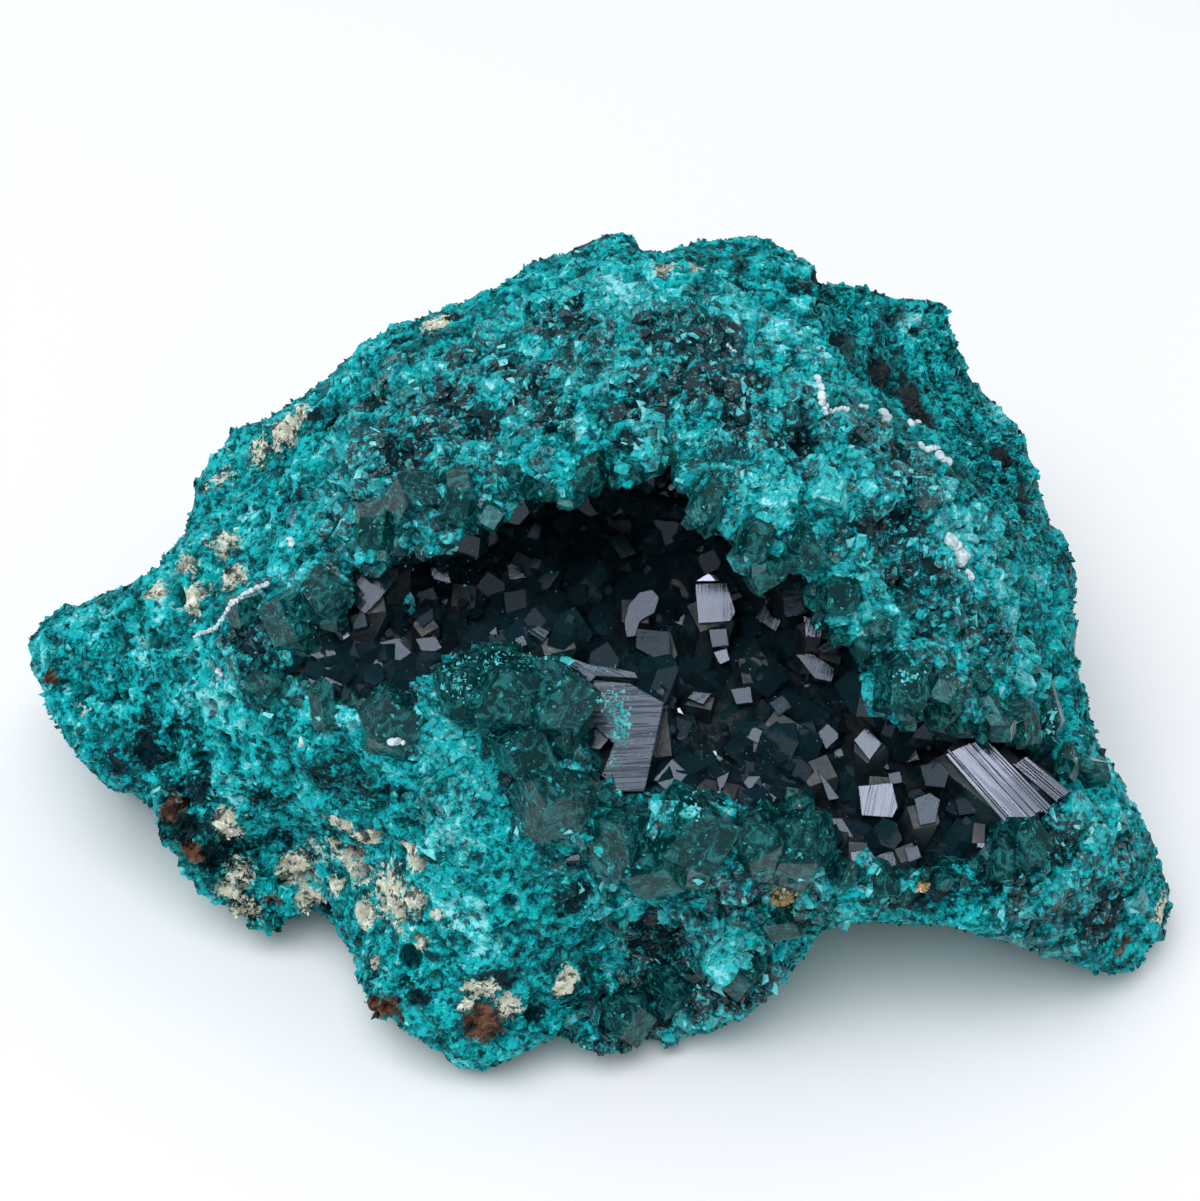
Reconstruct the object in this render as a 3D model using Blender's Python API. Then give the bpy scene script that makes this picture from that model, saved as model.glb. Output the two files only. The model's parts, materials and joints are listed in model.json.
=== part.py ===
"""Dioptase on its matrix: a rough lump with an open hollow that is lined with dark crystals.

Two pieces that grew against each other. The matrix is the rock, with the broken crystals of its
rim and face. The crystal crust lines the hollow. Lengths are in millimetres until a mesh is made.
"""

import math
import random

import bmesh
import bpy
import numpy as np
from mathutils import Matrix, Vector, noise

MM = 0.001

# The front view, which the outline and the relief below are drawn in.
VIEW_TILT = math.radians(45)
VIEW_DISTANCE = 292.0
AIM = np.array([0.0, 0.0, 33.0])
RISE = 4.33
RIGHT = np.array([1.0, 0.0, 0.0])
UP = np.array([0.0, math.sin(VIEW_TILT), math.cos(VIEW_TILT)])
TOWARD = np.array([0.0, -math.cos(VIEW_TILT), math.sin(VIEW_TILT)])

# The rock's edge in the front view, clockwise from the tip of the left arm.
LEFT_ARM_TOP = [(-50.1, -1.1), (-48.6, 3.1), (-45.2, 4.3), (-41.3, 5.4), (-38.1, 7.4)]
LEFT_SHOULDER = [(-36.1, 10.9), (-35.0, 15.3), (-32.3, 19.2), (-29.1, 20.1), (-24.9, 22.7), (-22.5, 24.8)]
CROWN_LEFT = [(-19.4, 27.8), (-15.1, 29.2), (-11.4, 30.2), (-6.8, 32.9), (-1.5, 35.4), (2.0, 36.9)]
CROWN_RIGHT = [(3.3, 35.3), (5.9, 34.4), (10.0, 36.1), (14.3, 35.7), (19.0, 33.5), (21.5, 32.2)]
BACK_WING = [(23.0, 32.8), (24.3, 31.6), (29.5, 31.2), (31.3, 29.1), (33.3, 25.4), (35.0, 22.8)]
RIGHT_FLANK = [(38.3, 20.0), (39.1, 17.1), (39.2, 11.4), (41.2, 8.3), (41.5, 4.4), (41.0, -0.3)]
RIGHT_ARM = [(42.3, -4.3), (43.2, -8.5), (45.2, -11.2), (47.5, -15.0), (49.2, -18.6), (50.1, -22.5)]
RIGHT_FOOT = [(49.2, -25.4), (46.8, -28.1), (43.8, -28.5), (40.3, -27.0)]
ARCH = [(35.0, -25.2), (29.4, -23.8), (23.8, -23.8), (20.0, -23.6)]
FRONT_FOOT = [(18.2, -25.8), (16.0, -28.7), (12.2, -31.9), (8.8, -34.3), (5.6, -35.9), (3.2, -34.7)]
FRONT_TOE = [(0.2, -35.6), (-2.8, -33.1), (-7.0, -34.6), (-8.8, -37.0), (-11.7, -37.3), (-13.9, -35.5)]
FRONT_LEFT = [(-17.4, -33.1), (-20.1, -31.3), (-21.4, -26.3), (-23.2, -23.8), (-25.0, -22.3), (-26.5, -23.2)]
LEFT_FOOT = [(-29.2, -25.1), (-31.7, -23.1), (-34.7, -21.4), (-36.2, -18.7), (-38.1, -16.9)]
LEFT_ARM_UNDER = [(-38.4, -14.0), (-40.5, -12.3), (-43.3, -12.3), (-44.8, -10.5), (-47.4, -6.3),
                  (-48.9, -2.7)]
OUTLINE = (
    LEFT_ARM_TOP + LEFT_SHOULDER + CROWN_LEFT + CROWN_RIGHT + BACK_WING + RIGHT_FLANK + RIGHT_ARM
    + RIGHT_FOOT + ARCH + FRONT_FOOT + FRONT_TOE + FRONT_LEFT + LEFT_FOOT + LEFT_ARM_UNDER
)

# How far the face stands towards the viewer: across, up and out.
RELIEF = {
    "crown": [(3.5, 28, 6), (2, 22, 14), (3.5, 17.5, 17), (-7, 28, 2), (12, 29, 5)],
    "left brow": [(-10.5, 11.4, 16), (-17.5, 9.6, 14), (-23.6, 7.9, 9), (-8, 20, 11)],
    "left shoulder": [(-15.8, 21.9, 5), (-21.9, 17.5, 1), (-28, 14.9, -6), (-33.3, 13.1, -11)],
    "right ridge": [(19.3, 28, 3), (21.9, 21.9, 9), (28.9, 16.6, 8), (12, 18, 15), (31.5, 12.5, 7)],
    "back wing": [(26.3, 28, -12), (31.5, 21.9, -13), (36.0, 16.6, -11), (25.5, 24.5, -7)],
    "right flank": [(35, 4.4, 5), (26.3, 7.9, 11), (30.6, 0, 11), (39.4, 0.9, -2), (35, -5.3, 9)],
    "right flank foot": [(41.2, -7, -2)],
    "right arm": [(43.8, -17.5, 2), (48.2, -23.6, -7), (43.8, -25.4, -3), (35, -21, 6), (26.3, -21, 8)],
    "front rim": [(17.5, -19.3, 10), (8.8, -17.5, 12), (0, -14.9, 13)],
    "front foot": [(9.6, -25.9, 5), (10.0, -31, 0), (4.2, -24.4, 2), (2.6, -31.5, -2), (-2.0, -24, 7)],
    "front left": [(-9.4, -33.3, 1), (-9, -24, 9), (-14.5, -21, 9), (-17.5, -27.5, 3), (-17.5, -15, 8)],
    "hump": [(-10.5, -11.4, 13), (-17.5, -7, 12), (-8.8, -2.6, 15), (-2.5, -4.5, 14)],
    "left face": [(-28, 0, 8), (-23.6, -13.1, 5), (-30.6, -7.9, 5)],
    "left arm": [(-35, 2.6, 1), (-42, 0, -3), (-47.3, -0.9, -7), (-39.4, -7, -1)],
    "left foot": [(-32.4, -17.0, -5), (-29.5, -21.8, -9), (-25.4, -19.6, -8), (-24.2, -16.0, -1)],
}
RIM_OUT = -8.0
BULGE_FRONT = 42.0
BULGE_BACK = 58.0
BULGE_POWER = 2.6
BACK_REACH = 43.0
UNDERSIDE = -1.3
UNDER_ARCH = 4.2
UNDER_ARCH_AT = np.array([3.0, 9.0])
UNDER_ARCH_REACH = 21.0
ROUNDING = 7.0
RAY_START = np.array([0.0, 6.0, 24.0])
RAY_LENGTH = 75.0
RAY_HALVINGS = 26
# Near its outline the rock's roughness calms, and moves along the line of sight instead.
OUTLINE_BAND = 0.14
OUTLINE_CALM = 0.25
EDGE_WANDER = 4.5
BROAD_ROUGH, KNOB_ROUGH, LEDGE_ROUGH = 1.5, 2.2, 0.5
BODY_DETAIL = 6
BODY_VOXEL = 1.1
BODY_TRIANGLES = 2650
ROCK_COLOUR = (0.01, 0.24, 0.23)
CRYSTAL_COLOUR = (0.004, 0.03, 0.035)

# The clear space between the crust and the rock.
GAP = 0.35

# The hollow's mouth in the front view, clockwise from its left end: across, up, and how far
# the wall behind that edge is cut back under it.
MOUTH = [
    (-27.6, -1.6, 1.0), (-25.5, 1.2, 1.5), (-22.8, 4.6, 2.0), (-19.6, 7.3, 2.5), (-16.0, 8.4, 3.0),
    (-12.4, 9.6, 4.0), (-10.0, 11.4, 5.0), (-8.4, 13.4, 6.0), (-4.5, 13.9, 7.0), (-0.8, 13.7, 7.0),
    (2.2, 15.4, 7.0), (4.6, 17.0, 6.5), (7.0, 15.6, 6.5), (9.0, 12.0, 6.5), (12.0, 9.8, 6.0),
    (15.6, 8.0, 5.5), (19.0, 6.2, 5.0), (21.0, 2.8, 4.5), (22.6, -1.2, 4.0), (24.8, -4.6, 3.5),
    (29.0, -4.6, 3.0), (33.0, -6.0, 2.5), (36.8, -7.6, 2.0), (39.8, -8.2, 1.0), (41.2, -10.6, 0.5),
    (39.6, -14.2, 0.0), (36.0, -17.9, 0.0), (31.4, -19.2, 0.0), (26.4, -19.4, 0.0), (21.8, -19.6, 0.0),
    (17.6, -18.0, 0.0), (14.0, -14.6, 0.0), (10.0, -12.8, 0.0), (5.0, -12.6, 0.0), (0.6, -13.0, 0.0),
    (-1.4, -10.6, 0.0), (-1.2, -6.0, 0.0), (-2.8, -2.4, 0.0), (-7.0, -0.7, 0.0), (-11.4, -1.0, 0.0),
    (-14.2, -3.4, 0.0), (-18.4, -5.6, 0.0), (-22.0, -4.6, 0.0), (-25.4, -3.8, 0.5),
]
SPINE = [(-25.5, -1.6), (-20.0, 1.4), (-8.0, 5.0), (4.0, 2.5), (14.0, -4.0), (24.0, -11.0), (38.0, -11.8)]
FLOOR = [
    (-26, -2, 5), (-20, 3, 2), (-19, -3, 4), (-12, 4, -2), (-8, 10, -9), (-7, 1, -2), (0, 9, -12), (0, 2, -6),
    (5, 14, -11), (9, 9, -10), (14, 6, -9), (3, -4, -1), (4, -10, 2), (12, -1, -6), (12, -9, 0), (19, 2, -5),
    (19, -7, -3), (20, -15, 2), (25, -9, -3), (27, -15, 1), (33, -10, -2), (33, -16, 1), (39, -11, -3),
]
MOUTH_STEPS = 38
SPINE_STEPS = 72
TOP_OF_CUT = 48.0
# The hollow's wall: how deep its two rings lie, as shares of the depth from face to floor.
SHOULDER_DEEP = 0.42
HEEL_DEEP = 0.78
HEEL_LEAST = 7.0
FLOOR_LEAST = 4.0
CRUST_THICK = 2.4
CRUST_EDGE = 4.2
CRUST_EASE = 1.6
CRUST_BUMPS = 1.1
CRUST_OVERLAP = 1.0
# Balls at the hollow's narrow ends, where the crust stops short: across, up, out, radius.
CRUST_ENDS = [(-27.0, -1.8, 4.0, 3.9), (40.6, -9.0, -3.8, 3.3)]

# The face that the bright crystals turn up to the sky: across, up and out.
SKYWARD = Vector((-0.10, 0.30, 0.95)).normalized()
RHOMB_SLOPE = math.radians(51)

# Crystals of the hollow, each by the face that it turns skyward: middle of that face across and
# up, lift over the crust, way that the crystal points in the view in degrees, width, length.
PRISM, RHOMB = "prism", "rhomb"
BRIGHT_CRYSTALS = [
    (PRISM, 34.2, -11.8, 5.2, -41, 6.4, 9.6),
    (PRISM, 37.4, -11.0, 4.2, -41, 3.6, 6.4),
    (PRISM, 2.8, -7.6, 4.6, 186, 6.6, 6.4),
    (PRISM, 1.6, -2.6, 4.0, 168, 4.6, 8.2),
    (RHOMB, 10.0, 3.6, 4.6, 250, 4.4, 4.0),
    (RHOMB, 3.6, 3.4, 3.8, 225, 3.6, 3.6),
    (RHOMB, 17.2, 5.2, 3.4, 262, 3.8, 4.4),
    (RHOMB, 18.6, 2.0, 3.6, 255, 2.6, 3.0),
    (RHOMB, 23.7, -8.3, 3.6, 270, 3.2, 3.4),
    (PRISM, 24.6, -13.2, 3.4, 266, 4.0, 4.2),
    (RHOMB, 28.6, -14.2, 3.2, 240, 3.2, 3.6),
    (RHOMB, 22.9, -17.6, 2.2, 225, 2.4, 2.6),
    (RHOMB, 27.0, -17.6, 2.0, 250, 2.2, 2.4),
    (PRISM, 8.4, -4.4, 2.6, 165, 2.6, 3.0),
    (PRISM, 19.4, -0.2, 2.6, 160, 2.4, 3.6),
    (RHOMB, -7.6, 10.6, 4.0, 200, 2.8, 3.0),
    (RHOMB, -19.6, 4.4, 3.4, 235, 3.4, 3.6),
    (RHOMB, -15.0, 2.2, 2.6, 260, 2.6, 3.0),
    (RHOMB, -11.4, 4.8, 2.6, 220, 3.0, 3.2),
    (PRISM, -2.6, 5.4, 3.0, 185, 3.4, 5.0),
    (RHOMB, 14.0, -1.6, 3.0, 235, 3.8, 4.2),
    (RHOMB, 15.6, -6.6, 3.2, 280, 4.2, 4.4),
    (RHOMB, 19.4, -10.4, 2.8, 250, 3.6, 4.0),
    (PRISM, 12.0, -8.6, 2.4, 190, 3.2, 3.6),
    (RHOMB, 30.4, -10.0, 2.8, 260, 3.0, 3.4),
    (RHOMB, 5.8, 0.4, 2.6, 240, 3.2, 3.2),
    (RHOMB, 33.0, -16.0, 1.6, 220, 2.8, 3.0),
    (PRISM, 17.6, -14.4, 2.2, 300, 3.0, 3.4),
]
SMALL_CRYSTALS = 30
SMALL_SPACING = 3.4
SMALL_WIDTH = (3.0, 5.0)
SMALL_LENGTH = (1.0, 1.4)
SMALL_TILT = 0.55
SMALL_TRIES = 6000

# Broken crystals that stand on the rock: across, up, lift over its face, the way each points
# (across, up, out), width, length.
RIM_CRYSTALS = [
    (16.8, -16.6, 0.2, (0.2, 0.7, 0.7), 6.8, 5.6),
    (12.6, -17.6, 0.0, (-0.3, 0.6, 0.7), 6.0, 5.4),
    (6.8, -16.2, 0.4, (0.1, 0.8, 0.6), 7.4, 6.4),
    (1.6, -16.6, 0.0, (-0.4, 0.5, 0.8), 6.0, 6.0),
    (21.6, -21.0, -0.4, (0.3, 0.7, 0.7), 5.0, 4.6),
    (-3.6, -14.2, 0.4, (-0.2, 0.3, 0.9), 5.6, 6.0),
    (-4.4, -9.0, 0.4, (0.5, 0.2, 0.8), 6.4, 6.0),
    (-4.6, -4.4, 0.4, (0.6, 0.5, 0.7), 7.0, 5.6),
    (-9.4, -3.4, 0.2, (-0.1, 0.7, 0.7), 6.4, 6.0),
    (-13.2, -6.2, 0.0, (-0.6, 0.5, 0.7), 5.4, 5.2),
    (-18.4, -6.8, 0.0, (0.1, 0.8, 0.6), 5.0, 4.4),
    (26.2, -3.4, 0.0, (-0.1, -0.8, 0.6), 5.2, 5.6),
    (30.2, -3.4, 0.0, (0.2, -0.8, 0.6), 4.4, 4.8),
    (34.0, -4.6, 0.0, (-0.1, -0.8, 0.6), 4.6, 6.4),
    (38.2, -5.6, -0.4, (0.0, -1.0, 0.3), 2.6, 5.4),
    (40.6, -9.4, 0.2, (-0.4, -0.5, 0.8), 3.0, 3.8),
    (22.6, 2.6, 0.2, (-0.7, -0.5, 0.5), 5.0, 5.0),
    (20.6, 6.6, 0.0, (-0.4, -0.7, 0.6), 5.4, 5.4),
    (14.8, 9.8, 0.0, (-0.2, -0.8, 0.6), 5.6, 5.4),
    (10.4, 12.8, 0.0, (-0.7, -0.6, 0.4), 5.0, 5.0),
    (2.4, 17.2, 0.0, (-0.2, -0.9, 0.4), 5.0, 4.8),
    (-3.4, 15.4, 0.0, (0.1, -0.9, 0.4), 5.6, 4.6),
    (-9.6, 13.6, 0.0, (0.4, -0.8, 0.5), 5.0, 4.6),
    (-14.6, 11.4, 0.0, (0.1, -0.8, 0.6), 5.6, 5.4),
    (-19.4, 9.6, 0.0, (0.2, -0.8, 0.6), 5.0, 5.0),
    (-24.0, 4.8, 0.0, (0.5, -0.5, 0.7), 4.6, 4.4),
    (-18.6, 16.0, -0.8, (-0.3, 0.3, 0.9), 6.0, 4.2),
    (8.6, 21.6, -0.8, (0.2, 0.2, 1.0), 5.6, 4.0),
    (27.4, 12.4, -0.8, (0.3, 0.1, 0.9), 5.4, 4.2),
]
RIM_SUNK = 1.6
GROUND = (160.0, 160.0, 40.0)


def to_view(points):
    """Across, up and out of each point, as the front view shows it."""
    rel = points - AIM
    out = rel @ TOWARD
    scale = VIEW_DISTANCE / (VIEW_DISTANCE - out)
    return (rel @ RIGHT) * scale, (rel @ UP) * scale + RISE, out


def from_view(across, up, out):
    """The point that the front view shows there, that far out."""
    scale = (VIEW_DISTANCE - out) / VIEW_DISTANCE
    return AIM + across * scale * RIGHT + (up - RISE) * scale * UP + out * TOWARD


def rounded_max(a, b, reach=ROUNDING):
    """The larger of a and b, with the crease between them rounded."""
    blend = np.clip(reach - np.abs(a - b), 0, None) / reach
    return np.maximum(a, b) + blend * blend * reach / 4


class Relief:
    """A smooth sheet through the relief points: a thin plate held at each of them."""

    def __init__(self, marks):
        points = np.array(marks, float)
        self.at, count = points[:, :2], len(points)
        plate = np.zeros((count + 3, count + 3))
        plate[:count, :count] = self.kernel(self.at)
        plate[:count, count:] = np.column_stack([np.ones(count), self.at])
        plate[count:, :count] = plate[:count, count:].T
        self.pull = np.linalg.solve(plate, np.append(points[:, 2], [0, 0, 0]))

    def kernel(self, where):
        away = ((where[:, None, :] - self.at[None, :, :]) ** 2).sum(axis=2)
        return away * np.log(away + 1e-9)

    def __call__(self, across, up):
        where = np.column_stack([across, up])
        flat = np.column_stack([np.ones(len(where)), where])
        return np.hstack([self.kernel(where), flat]) @ self.pull


def face_sheet():
    """The rock's face as it was before the hollow."""
    return Relief([mark for group in RELIEF.values() for mark in group])


def outline_radius(angle):
    points = np.array(OUTLINE)
    turn = np.arctan2(points[:, 1], points[:, 0])
    order = np.argsort(turn)
    return np.interp(angle, turn[order], np.hypot(*points.T)[order], period=2 * math.pi)


def outside(points, relief):
    """How far each point is outside the rock, below 0 inside it."""
    across, up, out = to_view(points)
    reach = outline_radius(np.arctan2(up, across))
    beyond = out - RIM_OUT
    depth = np.where(beyond > 0, BULGE_FRONT, BULGE_BACK)
    swell = (np.hypot(across, up) / reach) ** BULGE_POWER + np.abs(beyond / depth) ** BULGE_POWER
    bulge = (swell ** (1 / BULGE_POWER) - 1) * reach
    shape = rounded_max(bulge, out - relief(across, up), 3.0)
    shape = rounded_max(shape, points[:, 1] - BACK_REACH)
    middle = np.exp(-(((points[:, :2] - UNDER_ARCH_AT) / UNDER_ARCH_REACH) ** 2).sum(axis=1))
    return rounded_max(shape, UNDERSIDE + UNDER_ARCH * middle - points[:, 2], 4.0)


def craggy(point):
    """Knobs, ledges and hollows of the rock at one place, in millimetres outwards."""
    p = Vector(point)
    broad = noise.fractal(p / 14, 1.0, 2.1, 3)
    knobs = noise.voronoi(p / 5.5)[0][0]
    grain = noise.ridged_multi_fractal(p / 6.0 + Vector((3, 9, 1)), 0.9, 2.0, 3, 1.0, 2.0)
    return BROAD_ROUGH * broad + KNOB_ROUGH * (0.40 - knobs) + LEDGE_ROUGH * (grain - 1.1)


def edge_wander(point):
    """How far the rock's edge moves along the line of sight, where it would run straight."""
    return EDGE_WANDER * noise.fractal(Vector(point) / 11 + Vector((5, 2, 8)), 1.0, 2.1, 2)


def rock_points(directions):
    """Each direction's point on the rock: as far along its ray as the form reaches."""
    relief = face_sheet()
    near = np.zeros(len(directions))
    far = np.full(len(directions), RAY_LENGTH)
    for _ in range(RAY_HALVINGS):
        middle = (near + far) / 2
        inside = outside(RAY_START + directions * middle[:, None], relief) < 0
        near = np.where(inside, middle, near)
        far = np.where(inside, far, middle)
    points = RAY_START + directions * near[:, None]
    across, up, _ = to_view(points)
    share = np.hypot(across, up) / outline_radius(np.arctan2(up, across))
    calm = np.clip((1.0 - share) / OUTLINE_BAND, OUTLINE_CALM, 1.0)[:, None]
    outwards = (directions @ TOWARD)[:, None] * TOWARD
    swell = np.array([craggy(p) for p in points])[:, None]
    wander = np.array([edge_wander(p) for p in points])[:, None]
    return points + swell * (outwards + (directions - outwards) * calm) + (1 - calm) * wander * TOWARD


def add_mesh(name, bm):
    """Links the built mesh as an object, still in millimetres."""
    mesh = bpy.data.meshes.new(name)
    bm.to_mesh(mesh)
    bm.free()
    made = bpy.data.objects.new(name, mesh)
    bpy.context.scene.collection.objects.link(made)
    return made


def settle(made):
    """Turns the object's modifiers into its own plain mesh."""
    graph = bpy.context.evaluated_depsgraph_get()
    mesh = bpy.data.meshes.new_from_object(made.evaluated_get(graph))
    made.modifiers.clear()
    made.data = mesh


def rock_body():
    """The lump as it would be without the hollow, in even facets."""
    bm = bmesh.new()
    bmesh.ops.create_icosphere(bm, subdivisions=BODY_DETAIL, radius=1.0)
    directions = np.array([v.co.normalized()[:] for v in bm.verts])
    for vert, place in zip(bm.verts, rock_points(directions)):
        vert.co = Vector(place)
    body = add_mesh("matrix", bm)
    even = body.modifiers.new("even", "REMESH")
    even.mode = "VOXEL"
    even.voxel_size = BODY_VOXEL
    settle(body)
    fewer = body.modifiers.new("fewer faces", "DECIMATE")
    fewer.ratio = BODY_TRIANGLES / sum(len(p.vertices) - 2 for p in body.data.polygons)
    settle(body)
    return body


def mouth_rings():
    """The mouth's points, evenly spaced, with their outward ways and places on the spine."""
    marks = np.array(MOUTH, float)
    closed = np.vstack([marks, marks[:1]])
    run = np.concatenate([[0], np.cumsum(np.hypot(*np.diff(closed[:, :2], axis=0).T))])
    at = np.arange(MOUTH_STEPS) / MOUTH_STEPS * run[-1]
    rim = np.column_stack([np.interp(at, run, closed[:, axis]) for axis in range(3)])
    along = np.roll(rim[:, :2], -1, axis=0) - np.roll(rim[:, :2], 1, axis=0)
    outward = np.column_stack([-along[:, 1], along[:, 0]]) / np.hypot(*along.T)[:, None]
    spine = np.array(SPINE, float)
    share = np.linspace(0, len(spine) - 1, SPINE_STEPS)
    steps = np.column_stack([np.interp(share, range(len(spine)), spine[:, axis]) for axis in range(2)])
    nearest = [np.argmin(((steps - place) ** 2).sum(axis=1)) for place in rim[:, :2]]
    middle = steps[nearest]
    for _ in range(3):
        middle = (np.roll(middle, 1, axis=0) + middle * 2 + np.roll(middle, -1, axis=0)) / 4
    return rim[:, :2], rim[:, 2], outward, middle


def hollow_rings(shrink, crust=0.0):
    """Rings of the hollow's wall, from the open end in front of the face down to its floor.

    shrink draws the wall inwards. crust adds to that on the way down, and then the rings
    stand wider than the wall above the crust's own edge.
    """
    face = face_sheet()
    floor = Relief(FLOOR)
    rim, under, outward, middle = mouth_rings()
    under = under[:, None]
    face_out = face(*rim.T)
    floor_edge = np.minimum(floor(*rim.T), face_out - HEEL_LEAST)
    depth = face_out - floor_edge
    mouth = rim + outward * (CRUST_EASE if crust else -shrink)
    rings = [
        (mouth, np.full(len(rim), TOP_OF_CUT + 2 * crust - 3 * shrink)),
        (mouth, face_out + 1.0),
    ]
    if crust:
        leant = 0.7 * under * ((CRUST_EDGE + 1.0) / (SHOULDER_DEEP * depth + 1.0))[:, None]
        rings.append((rim + outward * (leant + CRUST_EASE), face_out - CRUST_EDGE))
    shoulder = rim + outward * (0.7 * under - shrink - 0.6 * crust)
    rings.append((shoulder, face_out - SHOULDER_DEEP * depth - 0.3 * crust))
    heel = rim + outward * (under - shrink - 0.8 * crust - 0.4)
    rings.append((heel, face_out - HEEL_DEEP * depth + shrink + 0.4 * crust))
    for share, edge in ((0.80, 0.05), (0.46, 0.0), (0.18, 0.0)):
        place = middle + (rim - middle) * share + outward * 0.3 * under * share
        out = np.minimum(floor(*place.T), face_out - FLOOR_LEAST) if share > 0.7 else floor(*place.T)
        rings.append((place, out + edge * depth + shrink + crust))
    return rings


def ring_points(place, out, bumps):
    """One ring in the shared frame, its points moved in and out by up to bumps."""
    points = from_view(place[:, :1], place[:, 1:], out[:, None])
    if bumps:
        lift = np.array([bumps * noise.noise(Vector(p) / 2.6) for p in points])
        points = points + lift[:, None] * TOWARD
    return points


def hollow_solid(shrink, crust=0.0, bumps=0.0):
    """The closed solid of the hollow's room, its open end far in front of the face."""
    bm = bmesh.new()
    rings = []
    for index, (place, out) in enumerate(hollow_rings(shrink, crust)):
        points = ring_points(place, out, bumps if index > 1 else 0.0)
        rings.append([bm.verts.new(p) for p in points])
    count = len(rings[0])
    for upper, lower in zip(rings, rings[1:]):
        for k in range(count):
            n = (k + 1) % count
            bm.faces.new((upper[k], upper[n], lower[n], lower[k]))
    bm.faces.new(rings[0][::-1])
    bm.faces.new(rings[-1])
    bmesh.ops.triangulate(bm, faces=bm.faces)
    bmesh.ops.recalc_face_normals(bm, faces=bm.faces)
    return bm


def end_balls():
    """What is taken off the crust at the hollow's two narrow ends."""
    balls = []
    for across, up, out, radius in CRUST_ENDS:
        bm = bmesh.new()
        bmesh.ops.create_icosphere(bm, subdivisions=1, radius=radius)
        bmesh.ops.translate(bm, vec=Vector(from_view(across, up, out)), verts=bm.verts)
        balls.append(bm)
    return balls


def crystal_corners(width, length, rng, root=0.45):
    """Corners of one crystal along +Z: six prism faces and three rhomb faces on top."""
    half = width / 2
    planes = []
    for k in range(6):
        turn = math.radians(60 * k)
        away = half * (1.0 if k in (0, 3) else rng.uniform(0.82, 1.05))
        planes.append((Vector((math.cos(turn), math.sin(turn), 0)), away))
    top = length * (1 - root)
    for k in range(3):
        turn = math.radians(30 + 120 * k)
        away = math.sin(RHOMB_SLOPE)
        slope = Vector((away * math.cos(turn), away * math.sin(turn), math.cos(RHOMB_SLOPE)))
        planes.append((slope, top * math.cos(RHOMB_SLOPE) * rng.uniform(0.88, 1.06) + half * 0.25))
    planes.append((Vector((0, 0, -1)), length * root))
    corners = []
    for a in range(len(planes)):
        for b in range(a):
            for c in range(b):
                rows = Matrix([planes[i][0] for i in (a, b, c)])
                if abs(rows.determinant()) < 1e-6:
                    continue
                spot = rows.inverted() @ Vector([planes[i][1] for i in (a, b, c)])
                if all(n.dot(spot) <= d + 1e-4 for n, d in planes):
                    corners.append(spot)
    return corners


def crystal(corners, place):
    """The hull of the corners, turned and moved by place."""
    bm = bmesh.new()
    spots = []
    for corner in corners:
        spot = place @ corner
        if all((spot - other).length > 0.05 for other in spots):
            spots.append(spot)
    hull = bmesh.ops.convex_hull(bm, input=[bm.verts.new(spot) for spot in spots])
    loose = {v for v in hull["geom_interior"] + hull["geom_unused"] if isinstance(v, bmesh.types.BMVert)}
    bmesh.ops.delete(bm, geom=list(loose), context="VERTS")
    return bm


def view_way(across, up, out):
    """That way of the front view, in the shared frame."""
    return Vector(across * RIGHT + up * UP + out * TOWARD).normalized()


def any_way(rng):
    return Vector((rng.uniform(-1, 1), rng.uniform(-1, 1), rng.uniform(-1, 1)))


def frame_of(z_way, x_hint):
    """A turn that brings +Z to z_way and +X as near x_hint as that allows."""
    z = z_way.normalized()
    x = (x_hint - z * x_hint.dot(z)).normalized()
    return Matrix([x, z.cross(x), z]).transposed()


def bright_place(kind, across, up, lift, turn, width, length, floor):
    """Where a bright crystal stands, so that its prism or rhomb face looks skyward."""
    sky = view_way(*SKYWARD)
    turn = math.radians(turn)
    along = view_way(math.cos(turn), math.sin(turn), 0)
    along = (along - sky * along.dot(sky)).normalized()
    out = float(floor(np.array([across]), np.array([up]))[0]) + CRUST_THICK + lift
    face_at = Vector(from_view(across, up, out))
    if kind == PRISM:
        axis = along
        spin = frame_of(axis, sky)
        middle = face_at - sky * (width / 2)
    else:
        axis = sky * math.cos(RHOMB_SLOPE) - along * math.sin(RHOMB_SLOPE)
        spin = frame_of(axis, sky) @ Matrix.Rotation(math.radians(-30), 3, "Z")
        middle = face_at - axis * (length * 0.38)
    return Matrix.Translation(middle) @ spin.to_4x4()


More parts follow.
